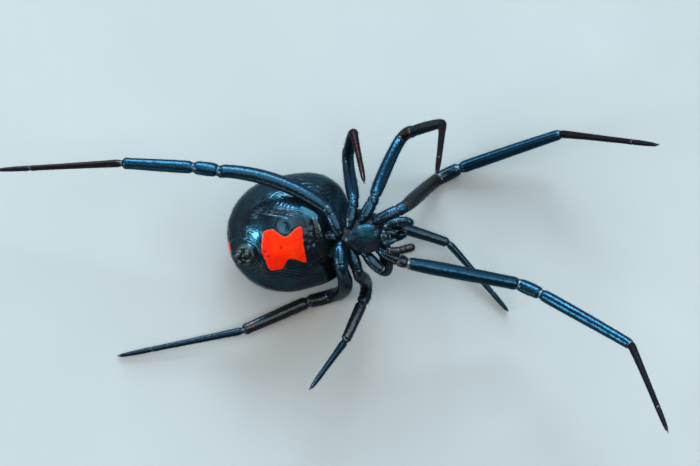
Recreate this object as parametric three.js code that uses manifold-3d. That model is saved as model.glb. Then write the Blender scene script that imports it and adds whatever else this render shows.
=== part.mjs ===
// Black widow spider, adult female, life size, lying belly up with its legs spread.
// Millimetres, +Z up. The origin is on the small flat on the back of the abdomen, on which
// the animal rests. The head points to +X, its right side to +Y, its belly to +Z.
import * as THREE from 'three';
import { mergeVertices } from 'three/addons/utils/BufferGeometryUtils.js';
import Module from 'manifold-3d';

const wasm = await Module();
wasm.setup();

// Driving dimensions
const JOINT_GAP = 0.24;          // slit between two pieces that meet face to face
const BODY_ROLL = 17;            // degrees, the right flank turned up
const ABDOMEN_HEADING = 12;      // degrees, abdomen axis turned from +X towards +Y
const FRONT_HEADING = 5;         // degrees, axis of the front body

const ABDOMEN_CENTRE = new THREE.Vector3(-0.08, -0.05, 3.64);
const ABDOMEN_FRONT = 4.1;       // centre to front end, along the body axis
const ABDOMEN_REAR = 3.7;        // centre to rear end
const ABDOMEN_HALF_WIDTH = 3.53;
const ABDOMEN_BELLY = 3.45;      // centre to belly surface
const ABDOMEN_BACK = 3.7;        // centre to the top of the back

const STERNUM_CENTRE = new THREE.Vector3(4.5, -0.38, 7.5);
const STERNUM_LENGTH = 2.1;
const STERNUM_WIDTH = 1.75;
const STERNUM_THICKNESS = 0.8;
const STERNUM_REAR_SHARE = 0.55; // how much of the sternum lies behind its middle
const CARAPACE_REAR = -1.5;      // from the middle of the sternum
const CARAPACE_LENGTH = 3.1;
const CARAPACE_WIDTH = 2.8;
const CARAPACE_HEIGHT = 1.4;
const PEDICEL_UP = -1.35;        // height of the waist, from the middle of the sternum
const RIM_DEPTH = 0.14;          // the carapace's edge, above its widest line
const CHELICERA_RADIUS = 0.31;
const FANG_RADIUS = 0.13;
const PALP_RADIUS = 0.25;
const EYE_RADIUS = 0.13;
const SPINNERET_LENGTH = 0.62;
const MARK_THICKNESS = 0.5;      // the red hourglass plate, set flush into the belly

const LEG_SIDES = 10;            // faces round a leg
const BODY_SIDES = 28;           // faces round the abdomen and carapace

// Lengths of the leg pieces from hip to claw, one row for each pair of legs, front to rear
const LEG_LENGTHS = {
  1: { coxa: 1.4, trochanter: 0.5, femur: 7.25, patella: 1.55, tibia: 6.8, metatarsus: 6.8, tarsus: 2.2 },
  2: { coxa: 1.25, trochanter: 0.45, femur: 5.0, patella: 1.4, tibia: 3.3, metatarsus: 4.1, tarsus: 1.5 },
  3: { coxa: 1.15, trochanter: 0.42, femur: 4.0, patella: 1.1, tibia: 2.7, metatarsus: 3.0, tarsus: 1.3 },
  4: { coxa: 1.2, trochanter: 0.55, femur: 6.85, patella: 1.5, tibia: 4.4, metatarsus: 5.8, tarsus: 2.1 },
};
const LEG_THICKNESS = { 1: 1.04, 2: 0.95, 3: 0.95, 4: 1.08 };
// Where each pair of hips sits, from the middle of the sternum: ahead, out to the side, up
const HIPS = { 1: [0.9, 0.9, -0.5], 2: [0.02, 1.06, -0.5], 3: [-0.76, 0.78, -0.5], 4: [-1.38, 0.34, -0.55] };

// Pose of each leg: heading and rise in degrees of coxa, trochanter, femur, patella, tibia,
// metatarsus and tarsus. Side is 1 on the right. Bow is how far the middle of the femur
// curves off its straight line.
const LEG_POSES = {
  leg_r1: { pair: 1, side: 1, bow: [0, 0, 0],
    turns: [[26.5, -6], [29, -8], [39, -67.5], [26.5, 8], [18.5, 18.5], [-8, 50.5], [-11.5, 61.5]] },
  leg_r2: { pair: 2, side: 1, bow: [0, 0, 0],
    turns: [[54.5, -14], [79.5, -14], [65, -37.5], [29, 54], [12, 59.5], [-97.5, 57], [-98.5, 57.5]] },
  leg_r3: { pair: 3, side: 1, bow: [0, 0, 0],
    turns: [[79.5, -12], [83, -12], [97, -47.5], [78.5, 72], [75, 67], [-77.5, 46.5], [-79.5, 45.5]] },
  leg_r4: { pair: 4, side: 1, bow: [0, 0.5, 0],
    turns: [[117.5, -2], [121, 0], [161, -2], [172.5, -4], [176.5, -9], [-178, -14], [-175, -10]] },
  leg_l1: { pair: 1, side: -1, bow: [0, 0, 0],
    turns: [[-28, 0], [-15.5, -4], [-11, -18.5], [-23, 13], [-30, 27.5], [-69.5, 61], [-76, 41]] },
  leg_l2: { pair: 2, side: -1, bow: [0, 0, 0],
    turns: [[-39, -8], [-40, -25], [93.5, -50], [-26.5, -31], [-19, -14], [-47.5, -9.5], [-50.5, -3.5]] },
  leg_l3: { pair: 3, side: -1, bow: [0, 0, 0],
    turns: [[-73, -12], [-71.5, -24], [-67, -73], [-109, 46.5], [-114.5, 21], [-126.5, 36.5], [-126.5, 39]] },
  leg_l4: { pair: 4, side: -1, bow: [0.2, -0.22, 0],
    turns: [[-97.5, 10], [-59.5, -6], [-114.5, -75.5], [-164.5, -2], [-156.5, 6], [-164, -5.5], [-180, -1]] },
};

// Colours and finish
const CUTICLE = new THREE.MeshStandardMaterial({ color: 0x0c1118, roughness: 0.25, metalness: 0.1 });
const LEG_CUTICLE = new THREE.MeshStandardMaterial({ color: 0x101a26, roughness: 0.3, metalness: 0.1 });
const FOOT_CUTICLE = new THREE.MeshStandardMaterial({ color: 0x2a1414, roughness: 0.4, metalness: 0 });
const RED_MARK = new THREE.MeshStandardMaterial({ color: 0xe03a12, roughness: 0.35, metalness: 0 });

// A part of the body with axes of its own: ahead, across to the right, and up to the belly
function bodyAxes(centre, heading) {
  const turn = new THREE.Quaternion().setFromEuler(new THREE.Euler(
    THREE.MathUtils.degToRad(BODY_ROLL), 0, THREE.MathUtils.degToRad(heading), 'ZYX'));
  const [forward, right, belly] = [[1, 0, 0], [0, 1, 0], [0, 0, 1]]
    .map((axis) => new THREE.Vector3(...axis).applyQuaternion(turn));
  const point = (ahead, across, up) => centre.clone().addScaledVector(forward, ahead)
    .addScaledVector(right, across).addScaledVector(belly, up);
  return { forward, right, belly, point };
}

const abdomen = bodyAxes(ABDOMEN_CENTRE, ABDOMEN_HEADING);
const front = bodyAxes(STERNUM_CENTRE, FRONT_HEADING);

// A closed surface through rings of the same number of points, with a cap on each end
function loft(rings) {
  const count = rings[0].length;
  const positions = [];
  const faces = [];
  for (const ring of rings) for (const point of ring) positions.push(point.x, point.y, point.z);
  for (let r = 0; r < rings.length - 1; r++) {
    for (let i = 0; i < count; i++) {
      const a = r * count + i;
      const b = r * count + (i + 1) % count;
      faces.push(a, b, b + count, a, b + count, a + count);
    }
  }
  for (const [ring, start, flip] of [[rings[0], 0, true],
    [rings[rings.length - 1], (rings.length - 1) * count, false]]) {
    const middle = ring.reduce((sum, point) => sum.add(point), new THREE.Vector3()).divideScalar(count);
    const centre = positions.length / 3;
    positions.push(middle.x, middle.y, middle.z);
    for (let i = 0; i < count; i++) {
      const pair = [start + i, start + (i + 1) % count];
      if (flip) pair.reverse();
      faces.push(centre, ...pair);
    }
  }
  const geometry = new THREE.BufferGeometry();
  geometry.setAttribute('position', new THREE.Float32BufferAttribute(positions, 3));
  geometry.setIndex(faces);
  return facingOut(geometry);
}

function signedVolume(geometry) {
  const position = geometry.attributes.position;
  const index = geometry.index;
  const corners = [new THREE.Vector3(), new THREE.Vector3(), new THREE.Vector3()];
  let volume = 0;
  for (let f = 0; f < index.count; f += 3) {
    corners.forEach((corner, i) => corner.fromBufferAttribute(position, index.getX(f + i)));
    volume += corners[0].dot(corners[1].clone().cross(corners[2])) / 6;
  }
  return volume;
}

function facingOut(geometry) {
  if (signedVolume(geometry) < 0) {
    const array = geometry.index.array;
    for (let f = 0; f < array.length; f += 3) [array[f], array[f + 1]] = [array[f + 1], array[f]];
  }
  return geometry;
}

function toSolid(geometry) {
  const bare = geometry.clone();
  bare.deleteAttribute('normal');
  bare.deleteAttribute('uv');
  const merged = mergeVertices(bare, 1e-4);
  return new wasm.Manifold(new wasm.Mesh({
    numProp: 3,
    vertProperties: new Float32Array(merged.attributes.position.array),
    triVerts: new Uint32Array(merged.index.array),
  }));
}

// Keeps the largest closed surface of a solid
function toGeometry(solid) {
  const largest = solid.decompose().sort((a, b) => b.volume() - a.volume())[0];
  const mesh = largest.getMesh();
  const geometry = new THREE.BufferGeometry();
  geometry.setAttribute('position', new THREE.Float32BufferAttribute(mesh.vertProperties, 3));
  geometry.setIndex(new THREE.Uint32BufferAttribute(mesh.triVerts, 1));
  return geometry;
}

// Cuts off all that would reach below the surface the animal lies on
function restOnFloor(geometry) {
  geometry.computeBoundingBox();
  if (geometry.boundingBox.min.z >= 0) return geometry;
  const size = 60;
  const below = new THREE.BoxGeometry(size, size, size).translate(0, 0, -size / 2);
  return toGeometry(toSolid(geometry).subtract(toSolid(below)));
}

const model = new THREE.Group();

function add(name, geometry, material) {
  const mesh = new THREE.Mesh(geometry, material);
  mesh.name = name;
  model.add(mesh);
}

// A round of points about a centre, with half sizes along two directions
function ellipseRing(centre, sideways, upward, halfSide, halfUp, count) {
  const ring = [];
  for (let i = 0; i < count; i++) {
    const angle = 2 * Math.PI * i / count;
    ring.push(centre.clone().addScaledVector(sideways, halfSide * Math.cos(angle))
      .addScaledVector(upward, halfUp * Math.sin(angle)));
  }
  return ring;
}

// A tapering piece along a curve that leaves start along startWay and reaches end along endWay.
// The profile lists [share of the length, radius]. Both ends are held back by half the slit.
function limb(start, startWay, end, endWay, profile, options = {}) {
  const { sides = LEG_SIDES, bow = new THREE.Vector3(), startGap = JOINT_GAP / 2,
    endGap = JOINT_GAP / 2, flatten = 1 } = options;
  const chord = end.clone().sub(start);
  const way = chord.clone().normalize();
  const reach = (joint, radius) => Math.min(chord.length() * 0.42,
    radius * (0.5 + 1.15 * way.angleTo(joint)));
  const from = start.clone().addScaledVector(startWay, startGap);
  const to = end.clone().addScaledVector(endWay, -endGap);
  const curve = new THREE.CubicBezierCurve3(from,
    from.clone().addScaledVector(startWay, reach(startWay, profile[0][1])),
    to.clone().addScaledVector(endWay, -reach(endWay, profile[profile.length - 1][1])), to);
  const rings = profile.map(([share, radius]) => {
    const centre = curve.getPointAt(share).addScaledVector(bow, 4 * share * (1 - share));
    const along = curve.getTangentAt(share);
    const sideways = new THREE.Vector3().crossVectors(along, front.belly).normalize();
    const upward = new THREE.Vector3().crossVectors(sideways, along);
    return ellipseRing(centre, sideways, upward, radius * flatten, radius, sides);
  });
  return loft(rings);
}

function direction([heading, rise]) {
  const h = THREE.MathUtils.degToRad(heading);
  const r = THREE.MathUtils.degToRad(rise);
  return new THREE.Vector3(Math.cos(r) * Math.cos(h), Math.cos(r) * Math.sin(h), Math.sin(r));
}

// Abdomen
// Half sizes of the cross-section at a place along the body axis, -1 rear end to 1 front end
function abdomenSection(place, inset) {
  const t = Math.abs(place);
  const round = (power) => Math.pow(Math.max(0, 1 - Math.pow(t, power)), 1 / power);
  const ahead = place > 0;
  return {
    width: ABDOMEN_HALF_WIDTH * round(ahead ? 2.9 : 2.05) - inset,
    belly: ABDOMEN_BELLY * round(ahead ? 1.75 : 2.15) - inset,
    back: ABDOMEN_BACK * round(ahead ? 2.9 : 2.1) - inset,
  };
}

function abdomenGeometry(inset = 0) {
  const steps = 20;
  const rings = [];
  for (let i = 0; i <= steps; i++) {
    const place = -Math.cos(Math.PI * (0.035 + 0.93 * i / steps)) / Math.cos(Math.PI * 0.035);
    const bounded = place * 0.995;
    const section = abdomenSection(bounded, inset);
    const ahead = bounded * (bounded > 0 ? ABDOMEN_FRONT : ABDOMEN_REAR);
    const ring = [];
    for (let k = 0; k < BODY_SIDES; k++) {
      const angle = 2 * Math.PI * k / BODY_SIDES;
      const up = Math.sin(angle) * (Math.sin(angle) > 0 ? section.belly : section.back);
      ring.push(abdomen.point(ahead, Math.cos(angle) * section.width, up));
    }
    rings.push(ring);
  }
  return loft(rings);
}

// The outline of the red mark on the belly, two lobes joined at a waist, [ahead, across]
const MARK_OUTLINE = [
  [-1.45, 1.3], [-0.78, 1.38], [-0.29, 0.88], [0.16, 0.92], [0.72, 1.22], [0.92, 1.15], [0.8, 0.1],
  [0.74, -1.12], [0.39, -0.9], [-0.05, -0.6], [-0.43, -0.72], [-0.83, -1.18], [-1.48, -1.15],
  [-1.55, -0.26], [-1.78, 0.08], [-1.52, 0.7],
];

// The same outline moved outwards by an even margin
function wider(outline, margin) {
  const points = outline.map((place) => new THREE.Vector2(...place));
  const count = points.length;
  return points.map((point, i) => {
    const before = point.clone().sub(points[(i + count - 1) % count]).normalize();
    const after = points[(i + 1) % count].clone().sub(point).normalize();
    const out = new THREE.Vector2(-before.y - after.y, before.x + after.x).normalize();
    const slant = Math.max(0.6, out.dot(new THREE.Vector2(-before.y, before.x)));
    return point.clone().addScaledVector(out, margin / slant);
  });
}

function markPrism(margin) {
  const rings = [0.5, ABDOMEN_BELLY + 1].map((up) => wider(MARK_OUTLINE, margin)
    .map((place) => abdomen.point(place.x, place.y, up)));
  return toSolid(loft(rings));
}

function addAbdomen() {
  const whole = toSolid(abdomenGeometry());
  const plate = whole.intersect(markPrism(0)).subtract(toSolid(abdomenGeometry(MARK_THICKNESS)));
  add('hourglass_mark', toGeometry(plate), RED_MARK);
  const bed = markPrism(JOINT_GAP).subtract(toSolid(abdomenGeometry(MARK_THICKNESS + JOINT_GAP)));
  add('abdomen', restOnFloor(toGeometry(whole.subtract(bed))), CUTICLE);
}

// A round taper from one point to another, for spinnerets, eyes and fangs
function taper(start, end, startRadius, endRadius, sides = 8) {
  const way = end.clone().sub(start).normalize();
  return limb(start, way, end, way, [[0, startRadius], [0.55, (startRadius + endRadius) * 0.53],
    [0.88, endRadius], [1, endRadius * 0.45]], { sides, startGap: 0, endGap: 0 });
}

// Spinnerets on one side of the abdomen, from front to rear pair, in the abdomen's own axes:
// [start, end, radius at the start, radius at the end]
const SPINNERET_BASE = 2.62;
const SPINNERET_TIP = SPINNERET_BASE + SPINNERET_LENGTH;
const SPINNERET_COLLAR = [[-2.66, 0, SPINNERET_BASE - 0.14], [-2.9, 0, SPINNERET_BASE + 0.26], 0.74, 0.6];
const SPINNERETS = [
  [[-2.5, 0.28, SPINNERET_BASE], [-2.64, 0.19, SPINNERET_TIP + 0.08], 0.26, 0.16],
  [[-2.74, 0.12, SPINNERET_BASE], [-2.88, 0.12, SPINNERET_TIP - 0.12], 0.15, 0.1],
  [[-2.94, 0.28, SPINNERET_BASE - 0.2], [-3.18, 0.22, SPINNERET_TIP - 0.2], 0.24, 0.15],
];

function addSpinnerets() {
  const [collarStart, collarEnd, collarWide, collarNarrow] = SPINNERET_COLLAR;
  let solid = toSolid(taper(abdomen.point(...collarStart), abdomen.point(...collarEnd), collarWide,
    collarNarrow, 14));
  for (const side of [-1, 1]) {
    for (const [start, end, wide, narrow] of SPINNERETS) {
      const [from, to] = [start, end].map(([ahead, across, up]) => abdomen.point(ahead, across * side, up));
      solid = solid.add(toSolid(taper(from, to, wide, narrow)));
    }
  }
  const clear = toSolid(abdomenGeometry(-JOINT_GAP));
  add('spinnerets', toGeometry(solid.subtract(clear)), CUTICLE);
}

// Front body
function addSternum() {
  const half = STERNUM_WIDTH / 2;
  const rear = -STERNUM_LENGTH * STERNUM_REAR_SHARE;
  const tip = STERNUM_LENGTH * (1 - STERNUM_REAR_SHARE);
  // shield outline on one side, [ahead, across]
  const side = [[rear, 0.06], [rear * 0.72, half * 0.42], [rear * 0.35, half * 0.82], [0, half],
    [tip * 0.75, half * 0.92], [tip, half * 0.62]];
  const outline = [...side, ...side.map(([ahead, across]) => [ahead, -across]).reverse()];
  const layer = (scale, up) => outline.map(([ahead, across]) => front.point(
    ahead * scale, across * scale, up));
  add('sternum', loft([layer(0.7, -STERNUM_THICKNESS), layer(0.9, -STERNUM_THICKNESS * 0.5),
    layer(1, -0.12), layer(0.93, 0), layer(0.6, 0.1), layer(0.2, 0.13)]), CUTICLE);
}

function carapaceSection(place) {
  // place runs from 0 at the rear to 1 at the front
  const rear = Math.pow(Math.min(1, place / 0.34), 0.55);
  const neck = place < 0.55 ? 1 : 1 - 0.36 * Math.min(1, (place - 0.55) / 0.3);
  const front = place < 0.9 ? 1 : Math.sqrt(Math.max(0, 1 - Math.pow((place - 0.9) / 0.115, 2)));
  const crown = 0.18 + 0.82 * Math.sin(Math.PI / 2 * Math.min(1, place / 0.6));
  return {
    width: CARAPACE_WIDTH / 2 * (0.3 + 0.7 * rear) * neck * (0.35 + 0.65 * front),
    height: CARAPACE_HEIGHT * crown * (0.5 + 0.5 * front),
  };
}

function addCarapace() {
  const rim = -STERNUM_THICKNESS - JOINT_GAP - 0.22;
  const steps = 12;
  const rings = [];
  for (let i = 0; i <= steps; i++) {
    const place = 0.02 + 0.98 * i / steps;
    const section = carapaceSection(place);
    const ring = [];
    for (let k = 0; k < BODY_SIDES; k++) {
      const angle = 2 * Math.PI * k / BODY_SIDES;
      const [c, s] = [Math.cos(angle), Math.sin(angle)];
      const up = s > 0 ? s * RIM_DEPTH : s * section.height;
      const across = Math.sign(c) * Math.pow(Math.abs(c), 0.85) * section.width;
      ring.push(front.point(CARAPACE_REAR + CARAPACE_LENGTH * place, across, rim - RIM_DEPTH + up));
    }
    rings.push(ring);
  }
  let solid = toSolid(loft(rings));
  // two rows of four eyes across the front of the head
  const face = CARAPACE_REAR + CARAPACE_LENGTH;
  const eyes = [[0.15, -0.12, -0.5], [0.5, -0.3, -0.42], [0.18, -0.32, -0.88], [0.55, -0.48, -0.72]];
  for (const [across, back, down] of eyes) {
    for (const side of [-1, 1]) {
      const eye = new THREE.SphereGeometry(EYE_RADIUS, 8, 6);
      const at = front.point(face + back, across * side, rim - RIM_DEPTH + down);
      eye.translate(at.x, at.y, at.z);
      solid = solid.add(toSolid(eye));
    }
  }
  add('carapace', toGeometry(solid), CUTICLE);
}

function addMouthparts() {
  const rear = STERNUM_LENGTH * (1 - STERNUM_REAR_SHARE) + JOINT_GAP;
  // the labium in the middle, an endite on each side of it
  let solid = toSolid(taper(front.point(rear, 0, -0.25), front.point(rear + 0.42, 0, -0.12), 0.3,
    0.22, 10));
  for (const side of [-1, 1]) {
    solid = solid.add(toSolid(taper(front.point(rear + 0.03, 0.28 * side, -0.18),
      front.point(rear + 0.8, 0.23 * side, -0.02), 0.25, 0.2, 10)));
  }
  add('mouthparts', toGeometry(solid), CUTICLE);
}

// Root and tip of each chelicera in the front body's axes. The left one leans to the middle.
const CHELICERAE = {
  chelicera_r: [[1.8, 0.43, -1.2], [2.5, 0.54, -0.3]],
  chelicera_l: [[1.82, -0.43, -1.2], [2.58, 0.03, -0.33]],
};

function addChelicerae() {
  for (const [name, [root, end]] of Object.entries(CHELICERAE)) {
    const start = front.point(...root);
    const tip = front.point(...end);
    const way = tip.clone().sub(start).normalize();
    const profile = [[0, 0.7], [0.25, 1], [0.6, 0.9], [0.85, 0.66], [1, 0.4]]
      .map(([share, size]) => [share, size * CHELICERA_RADIUS]);
    const body = toSolid(limb(start, way, tip, way, profile, { startGap: 0, endGap: 0 }));
    const fangRoot = tip.clone().addScaledVector(way, -0.2).addScaledVector(front.forward, -0.03);
    const fangTip = tip.clone().addScaledVector(way, 0.1).addScaledVector(front.forward, -0.12);
    const fang = toSolid(taper(fangRoot, fangTip, FANG_RADIUS, FANG_RADIUS * 0.4, 6));
    add(name, toGeometry(body.add(fang)), CUTICLE);
  }
}

// Middle line of each palp in the front body's axes, from its root to its tip
const PALP_ROUTES = {
  palp_r: [[1.52, 0.82, 0.26], [1.8, 0.94, 0.32], [2.4, 0.96, 0.22], [2.95, 0.66, 0.08]],
  palp_l: [[1.52, -0.8, 0.16], [1.8, -0.85, 0.2], [2.4, -0.78, 0.18], [3.05, -0.72, 0.12]],
};

function addPalps() {
  for (const [name, route] of Object.entries(PALP_ROUTES)) {
    const points = route.map((place) => front.point(...place));
    const start = points[1].clone().sub(points[0]).normalize();
    const end = points[3].clone().sub(points[2]).normalize();
    const profile = [[0, 0.85], [0.2, 1.05], [0.38, 0.92], [0.55, 1.05], [0.72, 0.95], [0.86, 1],
      [1, 0.5]].map(([share, size]) => [share, size * PALP_RADIUS]);
    const palp = limb(points[0], start, points[3], end, profile, { startGap: 0, endGap: 0 });
    add(name, palp, LEG_CUTICLE);
  }
}

function addPedicel() {
  const ahead = front.point(CARAPACE_REAR - JOINT_GAP, 0, PEDICEL_UP);
  const behind = front.point(CARAPACE_REAR - 1, 0, PEDICEL_UP - 0.25);
  const way = ahead.clone().sub(behind).normalize();
  const waist = toSolid(limb(behind, way, ahead, way, [[0, 0.36], [0.5, 0.27], [1, 0.32]],
    { startGap: 0, endGap: 0 }));
  add('pedicel', toGeometry(waist.subtract(toSolid(abdomenGeometry(-JOINT_GAP)))), CUTICLE);
}

// Legs
// Radii along each piece, [share of the length, radius in millimetres]
const LEG_PROFILES = {
  coxa: [[0, 0.27], [0.2, 0.35], [0.45, 0.39], [0.64, 0.35], [0.73, 0.3], [0.86, 0.35], [1, 0.32]],
  femur: [[0, 0.32], [0.05, 0.37], [0.14, 0.41], [0.4, 0.42], [0.7, 0.4], [0.92, 0.38], [1, 0.35]],
  patella: [[0, 0.34], [0.16, 0.38], [0.45, 0.4], [0.8, 0.37], [1, 0.33]],
  tibia: [[0, 0.32], [0.06, 0.36], [0.25, 0.36], [0.65, 0.33], [0.93, 0.31], [1, 0.28]],
  foot: [[0, 0.26], [0.05, 0.28], [0.3, 0.26], [0.74, 0.25], [0.77, 0.25], [0.93, 0.23], [1, 0.12]],
};

function addLeg(name, { pair, side, bow, turns }) {
  const size = LEG_LENGTHS[pair];
  const lengths = [size.coxa, size.trochanter, size.femur, size.patella, size.tibia, size.metatarsus,
    size.tarsus];
  const ways = turns.map(direction);
  const [ahead, out, up] = HIPS[pair];
  const joints = [front.point(ahead, out * side, up)];
  lengths.forEach((length, i) => joints.push(joints[i].clone().addScaledVector(ways[i], length)));
  // at a joint both pieces turn to the middle way, so that their faces meet flat
  const middle = (i) => ways[i].clone().add(ways[i + 1]).normalize();
  const pieces = [
    ['coxa', 0, 2, ways[0], middle(1)],
    ['femur', 2, 3, middle(1), middle(2)],
    ['patella', 3, 4, middle(2), middle(3)],
    ['tibia', 4, 5, middle(3), middle(4)],
    ['foot', 5, 7, middle(4), ways[6]],
  ];
  for (const [piece, from, to, startWay, endWay] of pieces) {
    const profile = LEG_PROFILES[piece].map(([share, radius]) => [share,
      piece === 'foot' ? radius : radius * LEG_THICKNESS[pair]]);
    const options = { bow: new THREE.Vector3(...(piece === 'femur' ? bow : [0, 0, 0])) };
    if (piece === 'foot') options.endGap = 0;
    const geometry = limb(joints[from], startWay, joints[to], endWay, profile, options);
    add(`${name}_${piece}`, restOnFloor(geometry), piece === 'foot' ? FOOT_CUTICLE : LEG_CUTICLE);
  }
}

addAbdomen();
addSpinnerets();
addPedicel();
addSternum();
addCarapace();
addMouthparts();
addChelicerae();
addPalps();
for (const [name, pose] of Object.entries(LEG_POSES)) addLeg(name, pose);

export default model;
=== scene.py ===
# Black widow spider, an adult female lying belly up with its legs spread, life size.
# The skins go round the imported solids, in the same frame. Places are named in millimetres
# and turned into metres where a mesh is made.
import math

import bmesh
import bpy
import numpy as np
from mathutils import Matrix, Vector, noise


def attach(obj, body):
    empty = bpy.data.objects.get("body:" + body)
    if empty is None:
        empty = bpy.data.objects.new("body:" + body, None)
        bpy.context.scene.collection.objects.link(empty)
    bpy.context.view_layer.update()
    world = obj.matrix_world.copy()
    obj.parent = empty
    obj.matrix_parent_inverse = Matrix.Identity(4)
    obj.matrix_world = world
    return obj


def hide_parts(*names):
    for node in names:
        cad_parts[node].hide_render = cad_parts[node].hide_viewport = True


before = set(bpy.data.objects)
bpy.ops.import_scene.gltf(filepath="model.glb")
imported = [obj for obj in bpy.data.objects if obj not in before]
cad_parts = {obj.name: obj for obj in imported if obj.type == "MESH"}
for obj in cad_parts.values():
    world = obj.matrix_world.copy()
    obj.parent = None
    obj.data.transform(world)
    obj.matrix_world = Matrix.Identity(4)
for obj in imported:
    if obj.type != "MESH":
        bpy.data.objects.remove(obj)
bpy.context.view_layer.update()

MM = 0.001
FLOOR_DROP = 0.02            # the floor sits this far under the flats

# Turns are in degrees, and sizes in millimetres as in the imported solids.
BODY_ROLL = 17
ABDOMEN_HEADING = 12
FRONT_HEADING = 5
ABDOMEN_CENTRE = (-0.08, -0.05, 3.64)
ABDOMEN_FRONT = 4.1
ABDOMEN_REAR = 3.7
ABDOMEN_HALF_WIDTH = 3.53
ABDOMEN_BELLY = 3.45
ABDOMEN_BACK = 3.7
STERNUM_CENTRE = (4.5, -0.38, 7.5)
STERNUM_LENGTH = 2.1
STERNUM_WIDTH = 1.75
STERNUM_THICKNESS = 0.8
CARAPACE_REAR = -1.5
CARAPACE_LENGTH = 3.1
CARAPACE_WIDTH = 2.8
CARAPACE_HEIGHT = 1.4
CARAPACE_RIM = -1.26
RIM_DEPTH = 0.14
EYE_RADIUS = 0.13
JOINT_GAP = 0.24

# Lengths of coxa, trochanter, femur, patella, tibia, metatarsus and tarsus, by pair
LEG_LENGTHS = {
    1: (1.4, 0.5, 7.25, 1.55, 6.8, 6.8, 2.2),
    2: (1.25, 0.45, 5.0, 1.4, 3.3, 4.1, 1.5),
    3: (1.15, 0.42, 4.0, 1.1, 2.7, 3.0, 1.3),
    4: (1.2, 0.55, 6.85, 1.5, 4.4, 5.8, 2.1),
}
LEG_THICKNESS = {1: 1.04, 2: 0.95, 3: 0.95, 4: 1.08}
HIPS = {1: (0.9, 0.9, -0.5), 2: (0.02, 1.06, -0.5),
        3: (-0.76, 0.78, -0.5), 4: (-1.38, 0.34, -0.55)}

# Pair, side, bow of the femur, and heading and rise of each piece from hip to claw
LEG_POSES = {
    "r1": (1, 1, (0, 0, 0),
           ((26.5, -6), (29, -8), (39, -67.5), (26.5, 8), (18.5, 18.5), (-8, 50.5), (-11.5, 61.5))),
    "r2": (2, 1, (0, 0, 0),
           ((54.5, -14), (79.5, -14), (65, -37.5), (29, 54), (12, 59.5), (-97.5, 57),
            (-98.5, 57.5))),
    "r3": (3, 1, (0, 0, 0),
           ((79.5, -12), (83, -12), (97, -47.5), (78.5, 72), (75, 67), (-77.5, 46.5),
            (-79.5, 45.5))),
    "r4": (4, 1, (0, 0.5, 0),
           ((117.5, -2), (121, 0), (161, -2), (172.5, -4), (176.5, -9), (-178, -14), (-175, -10))),
    "l1": (1, -1, (0, 0, 0),
           ((-28, 0), (-15.5, -4), (-11, -18.5), (-23, 13), (-30, 27.5), (-69.5, 61), (-76, 41))),
    "l2": (2, -1, (0, 0, 0),
           ((-39, -8), (-40, -25), (93.5, -50), (-26.5, -31), (-19, -14), (-47.5, -9.5),
            (-50.5, -3.5))),
    "l3": (3, -1, (0, 0, 0),
           ((-73, -12), (-71.5, -24), (-67, -73), (-109, 46.5), (-114.5, 21), (-126.5, 36.5),
            (-126.5, 39))),
    "l4": (4, -1, (0.2, -0.22, 0),
           ((-97.5, 10), (-59.5, -6), (-114.5, -75.5), (-164.5, -2), (-156.5, 6), (-164, -5.5),
            (-180, -1))),
}


def body_frame(centre, heading):
    """Takes a place (ahead, to the right, up to the belly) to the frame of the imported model."""
    turn = Matrix.Rotation(math.radians(heading), 3, "Z")
    roll = Matrix.Rotation(math.radians(BODY_ROLL), 3, "X")
    return Matrix.Translation(centre) @ (turn @ roll).to_4x4()


def way_of(heading, rise):
    """The way that a heading and a rise, both in degrees, point to, as a unit vector."""
    heading, rise = math.radians(heading), math.radians(rise)
    flat = math.cos(rise)
    return Vector((flat * math.cos(heading), flat * math.sin(heading), math.sin(rise)))


ABDOMEN = body_frame(ABDOMEN_CENTRE, ABDOMEN_HEADING)
FRONT = body_frame(STERNUM_CENTRE, FRONT_HEADING)
FRONT_BELLY = FRONT.to_3x3() @ Vector((0, 0, 1))


# Mesh making

def clear_selection():
    bpy.ops.object.select_all(action="DESELECT")


def smooth_finish(piece, levels):
    """Applies a smoothing subdivision and leaves the piece smooth shaded."""
    if levels:
        smoothing = piece.modifiers.new("smoothing", "SUBSURF")
        smoothing.levels = smoothing.render_levels = levels
        bpy.ops.object.modifier_apply(modifier=smoothing.name)
    bpy.ops.object.shade_smooth()


def outward():
    """Turns all faces of the piece in hand outwards."""
    bpy.ops.object.mode_set(mode="EDIT")
    bpy.ops.mesh.select_all(action="SELECT")
    bpy.ops.mesh.normals_make_consistent(inside=False)
    bpy.ops.object.mode_set(mode="OBJECT")


def rest_on_floor(piece):
    """Presses flat whatever reaches under the surface that the animal lies on."""
    mesh = piece.data
    places = np.empty(len(mesh.vertices) * 3, dtype=np.float32)
    mesh.vertices.foreach_get("co", places)
    heights = places[2::3]
    if heights.min() < 0:
        heights[heights < 0] = 0
        mesh.vertices.foreach_set("co", places)
        mesh.update()


class Ring:
    """One round of a tube: its middle, the way the tube runs, its radius and its colouring."""

    def __init__(self, centre, along, radius, tone=(0, 0, 0)):
        self.centre = Vector(centre)
        self.along = Vector(along).normalized()
        self.radius = radius
        self.tone = tone
        self.side = self.along.cross(FRONT_BELLY).normalized()
        self.up = self.side.cross(self.along)

    def turn(self):
        """Turns a flat circle to lie square across the tube."""
        return Matrix((self.side, -self.up, self.along)).transposed().to_euler()


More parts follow.
